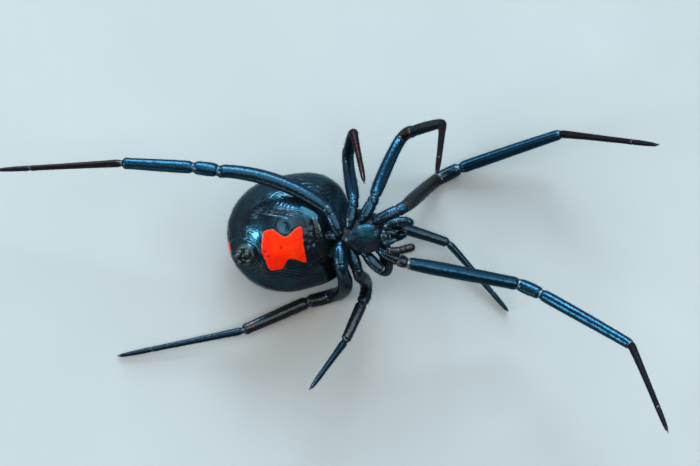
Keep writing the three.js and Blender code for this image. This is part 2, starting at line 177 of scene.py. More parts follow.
def ring_skin(name, rings, sides=12, levels=2):
    """A closed smooth tube through rings, built ring by ring and bridged."""
    clear_selection()
    shrink = 2 / 3 + math.cos(math.tau / sides) / 3   # smoothing draws a ring in by this much
    for i, ring in enumerate(rings):
        bpy.ops.mesh.primitive_circle_add(
            vertices=sides, radius=ring.radius / shrink * MM,
            location=ring.centre * MM, rotation=ring.turn())
        if i == 0:
            piece = bpy.context.object
            piece.name = piece.data.name = name
            bpy.ops.object.transform_apply(location=True, rotation=True, scale=True)
            bpy.ops.object.mode_set(mode="EDIT")
    bpy.ops.mesh.select_mode(type="EDGE")
    for i in range(len(rings) - 1):
        select_edges(piece, i * sides, (i + 2) * sides)
        bpy.ops.mesh.bridge_edge_loops()
    for start in (0, (len(rings) - 1) * sides):
        select_edges(piece, start, start + sides)
        bpy.ops.mesh.edge_face_add()
    bpy.ops.object.mode_set(mode="OBJECT")
    outward()
    tone = piece.data.color_attributes.new("tone", "FLOAT_COLOR", "POINT")
    colours = [value for ring in rings for _ in range(sides) for value in (*ring.tone, 1)]
    tone.data.foreach_set("color", colours)
    smooth_finish(piece, levels)
    rest_on_floor(piece)
    return piece


def select_edges(piece, start, end):
    """Selects edges by their number, and nothing else."""
    bpy.ops.mesh.select_all(action="DESELECT")
    edit = bmesh.from_edit_mesh(piece.data)
    edit.edges.ensure_lookup_table()
    for edge in edit.edges[start:end]:
        edge.select_set(True)
    bmesh.update_edit_mesh(piece.data)


def shaped_ball(name, cuts, shape, where, levels=0):
    """A rounded cube whose points, given as rows, are moved by shape in the frame where it is."""
    clear_selection()
    bpy.ops.mesh.primitive_cube_add(size=2)
    piece = bpy.context.object
    piece.name = piece.data.name = name
    bpy.ops.object.mode_set(mode="EDIT")
    bpy.ops.mesh.select_all(action="SELECT")
    bpy.ops.mesh.subdivide(number_cuts=cuts)
    bpy.ops.transform.tosphere(value=1)
    bpy.ops.object.mode_set(mode="OBJECT")
    ball = unit_rows(mesh_points(piece))
    set_mesh_points(piece, to_frame(where, shape(ball)) * MM)
    outward()
    smooth_finish(piece, levels)
    return piece


def mesh_points(piece):
    places = np.empty(len(piece.data.vertices) * 3)
    piece.data.vertices.foreach_get("co", places)
    return places.reshape(-1, 3)


def set_mesh_points(piece, points):
    piece.data.vertices.foreach_set("co", np.ascontiguousarray(points, dtype=np.float64).ravel())
    piece.data.update()


def mesh_normals(piece):
    normals = np.empty(len(piece.data.vertices) * 3)
    piece.data.vertex_normals.foreach_get("vector", normals)
    return normals.reshape(-1, 3)


def unit_rows(rows):
    return rows / np.linalg.norm(rows, axis=1)[:, None]


def to_frame(where, points):
    matrix = np.array(where)
    return points @ matrix[:3, :3].T + matrix[:3, 3]


def from_frame(where, points):
    return to_frame(where.inverted(), points)


def joined(name, pieces):
    """One object out of several, in order."""
    clear_selection()
    for piece in pieces:
        piece.select_set(True)
    bpy.context.view_layer.objects.active = pieces[0]
    bpy.ops.object.join()
    whole = bpy.context.object
    whole.name = whole.data.name = name
    return whole


def finish_piece(piece, material, slot, *nodes):
    """Gives a piece its finish, its place on the body and the solids that it stands for."""
    piece.data.materials.clear()
    piece.data.materials.append(material)
    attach(piece, "root")
    if nodes:
        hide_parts(*nodes)


def smooth_step(value, low, high):
    share = np.clip((value - low) / (high - low), 0, 1)
    return share * share * (3 - 2 * share)


def fade(gap, width):
    """A soft mask, 1 where the gap is nothing."""
    return np.exp(-(gap / width) ** 2)


def between(ends, share):
    return ends[0] + (ends[1] - ends[0]) * share


# Materials

def new_group(name, inputs, outputs):
    group = bpy.data.node_groups.new(name, "ShaderNodeTree")
    for label, kind, value in inputs:
        socket = group.interface.new_socket(name=label, in_out="INPUT", socket_type=kind)
        socket.default_value = value
    for label, kind in outputs:
        group.interface.new_socket(name=label, in_out="OUTPUT", socket_type=kind)
    start = group.nodes.new("NodeGroupInput")
    end = group.nodes.new("NodeGroupOutput")
    return group, start, end


def add_node(tree, kind, **settings):
    made = tree.nodes.new(kind)
    for key, value in settings.items():
        setattr(made, key, value)
    return made


def math_node(tree, operation, first, second=None, clamp=False):
    made = add_node(tree, "ShaderNodeMath", operation=operation, use_clamp=clamp)
    for socket, value in zip(made.inputs, (first, second)):
        if value is None:
            continue
        if isinstance(value, (int, float)):
            socket.default_value = value
        else:
            tree.links.new(value, socket)
    return made.outputs[0]


def colour_mix(tree, share, first, second):
    made = add_node(tree, "ShaderNodeMix", data_type="RGBA")
    for number, value in ((0, share), (6, first), (7, second)):
        socket = made.inputs[number]
        if isinstance(value, tuple):
            socket.default_value = (*value, 1)
        else:
            tree.links.new(value, socket)
    return made.outputs[2]


def spread(tree, value, low, high, to_low=0.0, to_high=1.0):
    """Maps a changing value from one range to another and holds it inside."""
    made = add_node(tree, "ShaderNodeMapRange", clamp=True)
    tree.links.new(value, made.inputs[0])
    for socket, number in zip(made.inputs[1:5], (low, high, to_low, to_high)):
        socket.default_value = number
    return made.outputs[0]


def object_place(tree):
    return add_node(tree, "ShaderNodeTexCoord").outputs["Object"]


def noise_texture(tree, place, scale, detail, distortion=0.0):
    made = add_node(tree, "ShaderNodeTexNoise")
    tree.links.new(place, made.inputs["Vector"])
    made.inputs["Scale"].default_value = scale
    made.inputs["Detail"].default_value = detail
    made.inputs["Roughness"].default_value = 0.55
    made.inputs["Distortion"].default_value = distortion
    return made.outputs["Fac"]


def make_cuticle_grain():
    """Shagreen of small raised cells over a fine ripple, and a slow change of tone over the
    surface.
    """
    group, start, end = new_group(
        "cuticle_grain",
        [("Cell Scale", "NodeSocketFloat", 9000.0), ("Ripple Scale", "NodeSocketFloat", 2500.0)],
        [("Height", "NodeSocketFloat"), ("Mottle", "NodeSocketFloat"), ("Fine", "NodeSocketFloat")])
    place = object_place(group)
    cells = add_node(group, "ShaderNodeTexVoronoi", feature="SMOOTH_F1")
    cells.inputs["Smoothness"].default_value = 0.6
    group.links.new(place, cells.inputs["Vector"])
    group.links.new(start.outputs["Cell Scale"], cells.inputs["Scale"])
    ripple = add_node(group, "ShaderNodeTexNoise")
    ripple.inputs["Detail"].default_value = 4
    group.links.new(place, ripple.inputs["Vector"])
    group.links.new(start.outputs["Ripple Scale"], ripple.inputs["Scale"])
    domes = math_node(group, "SUBTRACT", 1.0, cells.outputs["Distance"])
    domes = math_node(group, "MULTIPLY", domes, 0.6)
    height = math_node(group, "ADD", domes, ripple.outputs["Fac"])
    group.links.new(height, end.inputs["Height"])
    group.links.new(noise_texture(group, place, 420.0, 4.0), end.inputs["Mottle"])
    group.links.new(noise_texture(group, place, 5200.0, 3.0), end.inputs["Fine"])
    return group


def make_limb_tones():
    """Colour of a limb from the uneven tones painted along it: brown, foot red, joint skin."""
    colours = [("Base", (0.010, 0.040, 0.066, 1)), ("Brown", (0.060, 0.042, 0.028, 1)),
               ("Foot", (0.026, 0.010, 0.007, 1)), ("Skin", (0.36, 0.36, 0.30, 1))]
    group, start, end = new_group(
        "limb_tones", [(label, "NodeSocketColor", value) for label, value in colours],
        [("Color", "NodeSocketColor"), ("Bare", "NodeSocketFloat")])
    tone = add_node(group, "ShaderNodeAttribute", attribute_name="tone")
    parts = add_node(group, "ShaderNodeSeparateColor")
    group.links.new(tone.outputs["Color"], parts.inputs[0])
    patches = noise_texture(group, object_place(group), 900.0, 4.0, distortion=0.4)
    colour = start.outputs["Base"]
    for painted_tone, label, *unevenness in (
            (parts.outputs[0], "Brown", 0.32, 0.68, 0.35, 1.25),
            (parts.outputs[1], "Foot", 0.3, 0.7, 0.7, 1.1),
            (parts.outputs[2], "Skin", 0.3, 0.6, 0.55, 1.0)):
        uneven = spread(group, patches, *unevenness)
        share = math_node(group, "MULTIPLY", painted_tone, uneven, clamp=True)
        colour = colour_mix(group, share, colour, start.outputs[label])
    group.links.new(colour, end.inputs["Color"])
    group.links.new(share, end.inputs["Bare"])       # the last share is that of the skin
    return group


CUTICLE_GRAIN = make_cuticle_grain()
LIMB_TONES = make_limb_tones()


def new_material(name):
    material = bpy.data.materials.new(name)
    material.use_nodes = True
    tree = material.node_tree
    return material, tree, tree.nodes["Principled BSDF"]


def place_group(tree, group, **values):
    made = add_node(tree, "ShaderNodeGroup", node_tree=group)
    for label, value in values.items():
        made.inputs[label.replace("_", " ")].default_value = value
    return made


def painted(tree, name):
    """A value that the mesh carries point by point."""
    return add_node(tree, "ShaderNodeAttribute", attribute_name=name).outputs["Fac"]


def relief(tree, shader, height, depth):
    """Feeds a height into the shader's normal. Depth is in millimetres."""
    bump = add_node(tree, "ShaderNodeBump")
    bump.inputs["Distance"].default_value = depth * MM
    tree.links.new(height, bump.inputs["Height"])
    tree.links.new(bump.outputs["Normal"], shader.inputs["Normal"])


def gloss(shader, specular, tint, coat=0.0, metal=0.0):
    """Sets what is the same all over a surface."""
    shader.inputs["Metallic"].default_value = metal
    shader.inputs["Specular IOR Level"].default_value = specular
    shader.inputs["Specular Tint"].default_value = (*tint, 1)
    shader.inputs["Coat Weight"].default_value = coat
    shader.inputs["Coat Roughness"].default_value = 0.12


def make_leg_material():
    material, tree, shader = new_material("leg_cuticle")
    grain = place_group(tree, CUTICLE_GRAIN, Cell_Scale=8000.0, Ripple_Scale=2600.0)
    tones = place_group(tree, LIMB_TONES)
    tree.links.new(tones.outputs["Color"], shader.inputs["Base Color"])
    dull = spread(tree, grain.outputs["Mottle"], 0.3, 0.7, 0.19, 0.30)
    rough = math_node(tree, "ADD", dull, math_node(tree, "MULTIPLY", tones.outputs["Bare"], 0.25))
    tree.links.new(rough, shader.inputs["Roughness"])
    relief(tree, shader, grain.outputs["Height"], 0.02)
    gloss(shader, 0.3, (0.30, 0.34, 0.38), metal=0.85)
    return material


def make_body_material(name, base, second, roughness, cells, depth, patches=()):
    """Dark, uneven cuticle with a granular surface, for plates, mouthparts and spinnerets. Each
    patch is a soft spot of another colour: its middle, its reach and its colour. The teal
    patches of the sternum are painted sheen."""
    material, tree, shader = new_material(name)
    grain = place_group(tree, CUTICLE_GRAIN, Cell_Scale=cells, Ripple_Scale=2600.0)
    share = spread(tree, grain.outputs["Mottle"], 0.35, 0.65)
    colour = colour_mix(tree, share, base, second)
    for middle, reach, tone in patches:
        gap = add_node(tree, "ShaderNodeVectorMath", operation="DISTANCE")
        tree.links.new(object_place(tree), gap.inputs[0])
        gap.inputs[1].default_value = Vector(middle) * MM
        near = spread(tree, gap.outputs["Value"], reach * 0.25 * MM, reach * MM, 1.0, 0.0)
        colour = colour_mix(tree, math_node(tree, "MULTIPLY", near, near), colour, tone)
    tree.links.new(colour, shader.inputs["Base Color"])
    rough = spread(tree, grain.outputs["Fine"], 0.3, 0.7, roughness - 0.06, roughness + 0.08)
    tree.links.new(rough, shader.inputs["Roughness"])
    relief(tree, shader, grain.outputs["Height"], depth)
    gloss(shader, 0.35, (0.32, 0.36, 0.4), metal=0.75)
    return material


# Tones of the abdomen and of its red mark. The teal one is painted sheen, not a tone of the
# cuticle.
BLACK, BLUE_BLACK = (0.017, 0.023, 0.030), (0.018, 0.044, 0.058)
SHEEN_TEAL, OLIVE = (0.040, 0.140, 0.210), (0.070, 0.058, 0.034)
RED, BRIGHT_RED = (0.70, 0.009, 0.0005), (0.76, 0.024, 0.001)
STREAK_RED, RIM_ORANGE = (0.58, 0.004, 0.0005), (0.78, 0.06, 0.005)
PIT_BROWN = (0.07, 0.008, 0.003)


def make_abdomen_material():
    material, tree, shader = new_material("abdomen_cuticle")
    grain = place_group(tree, CUTICLE_GRAIN, Cell_Scale=8500.0, Ripple_Scale=2100.0)
    place = object_place(tree)
    # black cuticle with uneven blue-black tone and olive patches, and a painted teal sheen where
    # reflections of the lamps should fall
    patch = noise_texture(tree, place, 650.0, 3.0, distortion=0.6)
    dark = colour_mix(tree, spread(tree, patch, 0.4, 0.66), BLACK, BLUE_BLACK)
    dark = colour_mix(tree, painted(tree, "painted_sheen_share"), dark, SHEEN_TEAL)
    dark = colour_mix(tree, painted(tree, "brown_share"), dark, OLIVE)
    # the red mark and the red spot at the rear, with a slightly frayed edge
    inside = painted(tree, "mark_depth")
    fray = spread(tree, noise_texture(tree, place, 7000.0, 2.0), 0.3, 0.7, -0.022, 0.022)
    mark = spread(tree, math_node(tree, "ADD", inside, fray), -0.018, 0.022)
    # redder streaks that run across the body
    drawn_out = add_node(tree, "ShaderNodeVectorMath", operation="MULTIPLY")
    tree.links.new(place, drawn_out.inputs[0])
    drawn_out.inputs[1].default_value = (1.0, 0.35, 0.35)
    streaks = noise_texture(tree, drawn_out.outputs[0], 2600.0, 4.0, distortion=0.5)
    slow = noise_texture(tree, place, 700.0, 2.0)
    red = colour_mix(tree, spread(tree, slow, 0.35, 0.65), RED, BRIGHT_RED)
    red = colour_mix(tree, spread(tree, streaks, 0.5, 0.72, 0.0, 0.7), red, STREAK_RED)
    red = colour_mix(tree, spread(tree, inside, 0.0, 0.09, 0.45, 0.0), red, RIM_ORANGE)
    red = colour_mix(tree, painted(tree, "pit_share"), red, PIT_BROWN)
    tree.links.new(colour_mix(tree, mark, dark, red), shader.inputs["Base Color"])
    rough = spread(tree, grain.outputs["Fine"], 0.3, 0.7, 0.10, 0.19)
    rough = math_node(tree, "ADD", rough, math_node(tree, "MULTIPLY", mark, 0.3))
    tree.links.new(rough, shader.inputs["Roughness"])
    tree.links.new(spread(tree, mark, 0.0, 1.0, 0.75, 0.0), shader.inputs["Metallic"])
    # grain, less of it on the smooth swellings, and wrinkles drawn along the painted lines
    grainy = math_node(tree, "MULTIPLY", grain.outputs["Height"], painted(tree, "grain_share"))
    wrinkle = math_node(tree, "SINE", painted(tree, "wrinkle_phase"))
    wrinkle = math_node(tree, "MULTIPLY", wrinkle, painted(tree, "wrinkle_depth"))
    relief(tree, shader, math_node(tree, "ADD", grainy, wrinkle), 0.03)
    shader.inputs["Specular IOR Level"].default_value = 0.15
    shader.inputs["Specular Tint"].default_value = (0.35, 0.4, 0.45, 1)
    return material


def make_plain_material(name, base, second, roughness, depth, specular=0.5, coat=0.0):
    material, tree, shader = new_material(name)
    grain = place_group(tree, CUTICLE_GRAIN, Cell_Scale=9500.0, Ripple_Scale=2600.0)
    colour = colour_mix(tree, spread(tree, grain.outputs["Fine"], 0.35, 0.65), base, second)
    tree.links.new(colour, shader.inputs["Base Color"])
    rough = spread(tree, grain.outputs["Mottle"], 0.3, 0.7, roughness - 0.05, roughness + 0.07)
    tree.links.new(rough, shader.inputs["Roughness"])
    relief(tree, shader, grain.outputs["Height"], depth)
    gloss(shader, specular, (0.62, 0.82, 1.0), coat)
    return material


LEG = make_leg_material()
ABDOMEN_SKIN = make_abdomen_material()
# Each of these gives its name, two tones and roughness, a body material then its grain in cells
# to the metre, and all of them the depth of their relief in millimetres.
# The sternum's first and last patch are painted teal sheen, a reflection drawn into its colour.
STERNUM = make_body_material(
    "sternum_cuticle", (0.014, 0.026, 0.040), (0.022, 0.036, 0.052), 0.30, 7500.0, 0.03,
    patches=(((4.62, 0.10, 7.55), 1.0, (0.012, 0.070, 0.105)),
             ((5.0, -0.95, 7.3), 0.8, (0.045, 0.036, 0.056)),
             ((5.35, 0.05, 7.5), 0.3, (0.05, 0.16, 0.22))))
SHELL = make_body_material("carapace_cuticle", (0.018, 0.024, 0.034), (0.028, 0.040, 0.050), 0.32,
                           7000.0, 0.03)
SOFT_SKIN = make_plain_material("soft_skin", (0.010, 0.010, 0.009), (0.07, 0.066, 0.052), 0.55,
                                0.03, specular=0.3)
MOUTH = make_body_material(
    "mouth_cuticle", (0.018, 0.046, 0.070), (0.040, 0.085, 0.110), 0.24, 8000.0, 0.02,
    patches=(((5.75, -0.95, 7.2), 0.45, (0.16, 0.09, 0.03)),))
EYE = make_plain_material("eye_lens", (0.002, 0.002, 0.003), (0.004, 0.005, 0.007), 0.09,
                          0.001, specular=0.9, coat=0.6)
FANG = make_plain_material("fang_horn", (0.014, 0.004, 0.003), (0.035, 0.007, 0.004), 0.2,
                           0.004, coat=0.2)
SPINNERET = make_body_material("spinneret_cuticle", (0.018, 0.032, 0.038), (0.055, 0.064, 0.058),
                               0.36, 7000.0, 0.035)
BRISTLE = make_plain_material("bristle", (0.003, 0.003, 0.004), (0.016, 0.010, 0.007), 0.5,
                              0.002, specular=0.25)


# Hairs

# A hair has three corners round its root, three halfway along and one at its tip. These are its
# faces, and where its corners lie on its own patch of the unwrap.
HAIR_FACES = np.array([(0, 2, 1)] + [
    face for i, j in ((0, 1), (1, 2), (2, 0))
    for face in ((i, j, 3 + j), (i, 3 + j, 3 + i), (3 + i, 3 + j, 6))])
HAIR_SPOTS = np.array([(0, 0), (1, 0), (0.5, 0.3), (0.1, 0.5), (0.9, 0.5), (0.5, 0.7), (0.5, 1)])
PATCH_WIDTH = 0.003
ROOT_RADIUS = 0.5            # both as shares of the hair's width
HALFWAY_RADIUS = 0.36
SUNK_ROOT = 0.04             # how deep a root sits in the skin, as a share of the hair's length
HAIRLESS = 0.5               # skin as bare as this has no hairs
LOWEST_TIP = 0.03            # a hair on a tube stays out if it would reach lower than this
LOWEST_ROOT = 0.25           # a hair on the abdomen or front body stays out if it starts lower


class Bristles:
    """Collects the hairs of one coat and makes them as one mesh of closed curved spikes."""

    def __init__(self, seed):
        self.random = np.random.default_rng(seed)
        self.rows = []

    def add(self, roots, normals, leans, lengths, width, places, keep):
        """Takes one row for each hair, in millimetres, and leaves out those not marked in keep."""
        widths = width * (0.7 + 0.6 * self.random.random(len(roots)))
        places = places * 0.99 + 0.005
        self.rows.append([values[keep]
                          for values in (roots, normals, leans, lengths, widths, places)])

    def make(self, name):
        roots, normals, leans, lengths, widths, places = (
            np.concatenate(column) for column in zip(*self.rows))
        lengths, widths = lengths[:, None], widths[:, None]
        # a hair stands up at its root and bows over towards its tip
        first = unit_rows(normals * 0.75 + leans * 0.65)
        last = unit_rows(normals * 0.35 + leans)
        tangent = unit_rows(np.cross(normals, leans))
        across = np.cross(first, tangent)
        halfway = roots + first * lengths * 0.5
        corners = []
        for centre, radius in ((roots - normals * lengths * SUNK_ROOT, ROOT_RADIUS),
                               (halfway, HALFWAY_RADIUS)):
            for i in range(3):
                angle = math.tau * i / 3
                spoke = tangent * math.cos(angle) + across * math.sin(angle)
                corners.append(centre + spoke * widths * radius)
        corners.append(halfway + last * lengths * 0.5)
        points = np.stack(corners, axis=1)
        starts = np.arange(len(points)) * len(corners)
        faces = (starts[:, None, None] + HAIR_FACES).reshape(-1, 3)
        mesh = bpy.data.meshes.new(name)
        mesh.vertices.add(len(points) * len(corners))
        mesh.vertices.foreach_set("co", points.ravel() * MM)
        mesh.loops.add(faces.size)
        mesh.loops.foreach_set("vertex_index", faces.ravel())
        mesh.polygons.add(len(faces))
        mesh.polygons.foreach_set("loop_start", np.arange(len(faces)) * 3)
        mesh.update(calc_edges=True)
        spots = (places[:, None, :] + (HAIR_SPOTS - 0.5) * PATCH_WIDTH).reshape(-1, 2)
        unwrap = mesh.uv_layers.new(name="OFBake")
        unwrap.data.foreach_set("uv", np.clip(spots[faces.ravel()], 0, 1).ravel())
        mesh.validate()
        piece = bpy.data.objects.new(name, mesh)
        bpy.context.scene.collection.objects.link(piece)
        clear_selection()
        piece.select_set(True)
        bpy.context.view_layer.objects.active = piece
        outward()
        bpy.ops.object.shade_smooth()
        finish_piece(piece, BRISTLE, "leg_cuticle")


def bristle_rings(coat, rings, count, lengths, width):
    """Scatters hairs over a tube, leaning towards its end. Lengths are those at its two ends."""
    centres, alongs, sides, ups = (
        np.array([getattr(ring, part) for ring in rings])
        for part in ("centre", "along", "side", "up"))
    radii = np.array([ring.radius for ring in rings])
    bare = np.array([ring.tone[2] for ring in rings])
    run = length_along(centres)
    # twice as many as needed are drawn, and fewer of them are kept where the tube is thin
    at = coat.random.random(count * 2) * run[-1]
    keep = coat.random.random(count * 2) < np.interp(at, run, radii) / radii.max() + 0.25
    keep &= np.interp(at, run, bare) < HAIRLESS
    at = at[keep][:count]
    share = at / run[-1]
    angle = coat.random.random(len(at)) * math.tau

    def blend(values):
        return np.stack([np.interp(at, run, values[:, i]) for i in range(3)], axis=1)

    normal = unit_rows(blend(sides) * np.cos(angle)[:, None] + blend(ups) * np.sin(angle)[:, None])
    root = blend(centres) + normal * (np.interp(at, run, radii) * 0.97)[:, None]
    size = between(lengths, share) * (0.65 + 0.7 * coat.random.random(len(at)))
    way = unit_rows(blend(alongs) + coat.random.normal(0, 0.18, (len(at), 3)))
    # about where each hair ends
    tips = root + (normal * 0.55 + way * 0.83) * size[:, None]
    above = np.minimum(root[:, 2], tips[:, 2]) > LOWEST_TIP
    place = np.stack([angle / math.tau, share], axis=1)
    coat.add(root, normal, way, size, width, place, above)


def scatter(coat, piece, where, count, length, width, towards, density):
    """Hairs on a closed piece, each at a face of it, leaning one way of the body that the piece
    belongs to. Density gives how thickly they stand at each place of that body."""
    mesh = piece.data
    faces = len(mesh.polygons)
    areas, centres, normals = np.empty(faces), np.empty(faces * 3), np.empty(faces * 3)
    for measure, values in (("area", areas), ("center", centres), ("normal", normals)):
        mesh.polygons.foreach_get(measure, values)
    centres, normals = centres.reshape(-1, 3) / MM, normals.reshape(-1, 3)
    own = from_frame(where, centres)
    chances = areas * density(own)
    chosen = coat.random.choice(faces, count, p=chances / chances.sum())
    root, normal, own = centres[chosen], normals[chosen], own[chosen]
    lean = np.array(where.to_3x3() @ Vector(towards)) + coat.random.normal(0, 0.25, (count, 3))
    lean = unit_rows(lean - normal * np.sum(lean * normal, axis=1)[:, None])
    size = length * (0.6 + 0.8 * coat.random.random(count))
    middle = own - own.mean(axis=0)
    place = np.stack([np.arctan2(middle[:, 2], middle[:, 1]) / math.tau + 0.5,
                      (own[:, 0] - own[:, 0].min()) / np.ptp(own[:, 0])], axis=1)
    coat.add(root, normal, lean, size, width, place, root[:, 2] > LOWEST_ROOT)


# Centre lines

HANDLE_LIMIT = 0.42          # how much of a piece one of its ends may bend
LINE_POINTS = 241
LOOK_AROUND = 0.004          # the share of a line on either side that gives its way there


def length_along(line):
    """The length of a line up to each of its points."""
    return np.concatenate([[0], np.cumsum(np.linalg.norm(np.diff(line, axis=0), axis=1))])


def line_by_share(line):
    """Gives a function from a share of the line's length to the place and the way of it there."""
    run = length_along(line)
    run /= run[-1]

    def point(share):
        return Vector([np.interp(share, run, line[:, i]) for i in range(3)])

    def at(share):
        ahead, behind = point(min(1, share + LOOK_AROUND)), point(max(0, share - LOOK_AROUND))
        return point(share), (ahead - behind).normalized()
    return at


def centre_line(start, start_way, end, end_way, radii, steepness, gaps):
    """A curve that leaves start along its way and reaches end along its own, by share of length,
    with a gap at each end. A steep end turns over a longer stretch."""
    chord = end - start

    def reach(way, radius, steep):
        bend = chord.normalized().angle(way)
        return min(chord.length * HANDLE_LIMIT, radius * (0.5 + 1.15 * bend) * (1 + 0.6 * steep))

    first, last = start + start_way * gaps[0], end - end_way * gaps[1]
    a, b, c, d = np.array([first, first + start_way * reach(start_way, radii[0], steepness[0]),
                           last - end_way * reach(end_way, radii[1], steepness[1]), last])
    t = np.linspace(0, 1, LINE_POINTS)[:, None]
    return line_by_share((1 - t) ** 3 * a + 3 * (1 - t) ** 2 * t * b
                         + 3 * (1 - t) * t ** 2 * c + t ** 3 * d)


def smooth_route(points, steps=60):
    """A rounded line through points, by share of its length."""
    points = [np.array(point, dtype=float) for point in points]
    padded = [2 * points[0] - points[1], *points, 2 * points[-1] - points[-2]]
    line = []
    for a, b, c, d in zip(padded, padded[1:], padded[2:], padded[3:]):
        for t in np.linspace(0, 1, steps, endpoint=False):
            line.append(0.5 * (2 * b + (c - a) * t + (2 * a - 5 * b + 4 * c - d) * t * t
                               + (3 * b - a - 3 * c + d) * t ** 3))
    line.append(points[-1])
    return line_by_share(np.array(line))


def line_rings(line, profile):
    """Rings on a line, from rows of the share of its length and the radius there."""
    return [Ring(*line(share), radius) for share, radius in profile]


def straight_rings(start, end, profile, tone=lambda share: (0, 0, 0)):
    """Rings on a straight line, whose tone may change with the share of its length."""
    return [Ring(start.lerp(end, share), end - start, radius, tone(share))
            for share, radius in profile]


# Legs

# Radii along each piece, [share of the length, radius in millimetres, how bare the skin is]
LEG_PROFILES = {
    "coxa": ((0.0, 0.27, 0), (0.05, 0.33, 0), (0.2, 0.37, 0), (0.45, 0.39, 0), (0.6, 0.365, 0),
             (0.675, 0.37, 0), (0.7, 0.352, 0.1), (0.712, 0.30, 0.8), (0.738, 0.29, 0.8),
             (0.752, 0.335, 0.1), (0.775, 0.355, 0), (0.86, 0.36, 0), (0.94, 0.345, 0),
             (0.97, 0.35, 0), (1.0, 0.32, 0)),
    "femur": ((0.0, 0.315, 0), (0.012, 0.36, 0), (0.05, 0.38, 0), (0.14, 0.41, 0), (0.26, 0.42, 0),
              (0.4, 0.42, 0), (0.55, 0.41, 0), (0.7, 0.4, 0), (0.84, 0.385, 0), (0.93, 0.38, 0),
              (0.965, 0.395, 0), (0.985, 0.39, 0), (1.0, 0.34, 0)),
    "patella": ((0.0, 0.33, 0), (0.05, 0.375, 0), (0.16, 0.385, 0), (0.45, 0.4, 0),
                (0.7, 0.385, 0), (0.86, 0.37, 0), (0.94, 0.375, 0), (1.0, 0.32, 0)),
    "tibia": ((0.0, 0.30, 0), (0.018, 0.35, 0), (0.06, 0.36, 0), (0.25, 0.36, 0), (0.45, 0.35, 0),
              (0.65, 0.335, 0), (0.85, 0.32, 0), (0.93, 0.315, 0), (0.962, 0.33, 0),
              (0.985, 0.32, 0), (1.0, 0.27, 0)),
    "metatarsus": ((0.0, 0.2, 0), (0.02, 0.235, 0), (0.05, 0.235, 0), (0.2, 0.215, 0),
                   (0.5, 0.19, 0), (0.8, 0.17, 0), (0.93, 0.165, 0), (0.97, 0.175, 0),
                   (0.985, 0.17, 0), (0.993, 0.13, 0.5)),
    "tarsus": ((0.012, 0.13, 0.5), (0.03, 0.165, 0), (0.07, 0.17, 0), (0.3, 0.16, 0),
               (0.6, 0.145, 0), (0.85, 0.12, 0), (0.96, 0.10, 0), (0.99, 0.06, 0)),
}

# How brown each leg is, by piece, at its start and its end
BROWN = {
    "r1": {"coxa": (0.25, 0.1), "femur": (0.9, 1.0), "patella": (0.5, 0.1)},
    "r2": {"coxa": (0.35, 0.05), "patella": (0.9, 0.9), "tibia": (0.9, 0.9)},
    "r3": {"coxa": (0.3, 0.05), "femur": (0.05, 0.3), "patella": (0.4, 0.4), "tibia": (0.4, 0.5)},
    "r4": {"coxa": (0.2, 0.1), "femur": (0.1, 0.1)},
    "l1": {"coxa": (0.3, 0.45), "femur": (0.1, 0.1)},
    "l2": {"coxa": (0.35, 0.4), "femur": (0.45, 0.2), "patella": (0.2, 0.3), "tibia": (0.35, 0.4)},
    "l3": {"coxa": (0.3, 0.3), "femur": (0.6, 0.5), "patella": (0.5, 0.6), "tibia": (0.6, 0.65)},
    "l4": {"coxa": (0.1, 0.2), "femur": (0.4, 0.5), "patella": (0.6, 0.6), "tibia": (0.6, 0.7)},
}
# How foot-red each foot is, at its start and its end
FOOT_RED = {
    "r1": (1.0, 0.8), "r2": (0.95, 0.85), "r3": (1.0, 0.9), "r4": (0.9, 0.9),
    "l1": (0.75, 0.9), "l2": (0.35, 0.35), "l3": (0.3, 0.4), "l4": (0.35, 0.45),
}
# How much of the pale skin shows at the joints, and where more of it shows up to the thigh
JOINT_SKIN = {"r1": 0.12, "r2": 0.1, "r3": 0.1, "r4": 0.15,
              "l1": 0.35, "l2": 0.15, "l3": 0.1, "l4": 0.1}
PALE_TROCHANTER = {"l1": 0.7}

HIP_DEPTH = 0.25             # how far a leg starts inside the body
HIP_RADIUS = 0.2
STEEP_BEND = (0.45, 0.95)    # bend in radians from which a knee turns steep, and is wholly steep
ELBOW = 0.97                 # radius of a steep knee, as a share of the pieces beside it
STRAIGHT_NECK = 0.84         # radius between two pieces, as a share of the thinner one
STEEP_NECK = 0.955           # the same at a steep knee, as a share of the knee's own
KNEE_REACH = 0.55            # how far a steep knee rounds the pieces beside it
STEEP_CLOSES = 0.75          # how much of the gap between two pieces a steep knee closes
CLAW_PROFILE = ((0, 0.03), (0.3, 0.028), (0.6, 0.02), (0.85, 0.011), (1, 0.004))


def foot_profile(split):
    """Metatarsus and tarsus in one, meeting at a share of the whole length."""
    return ([(share * split, radius, bare) for share, radius, bare in LEG_PROFILES["metatarsus"]]
            + [(split + share * (1 - split), radius, bare)
               for share, radius, bare in LEG_PROFILES["tarsus"]])


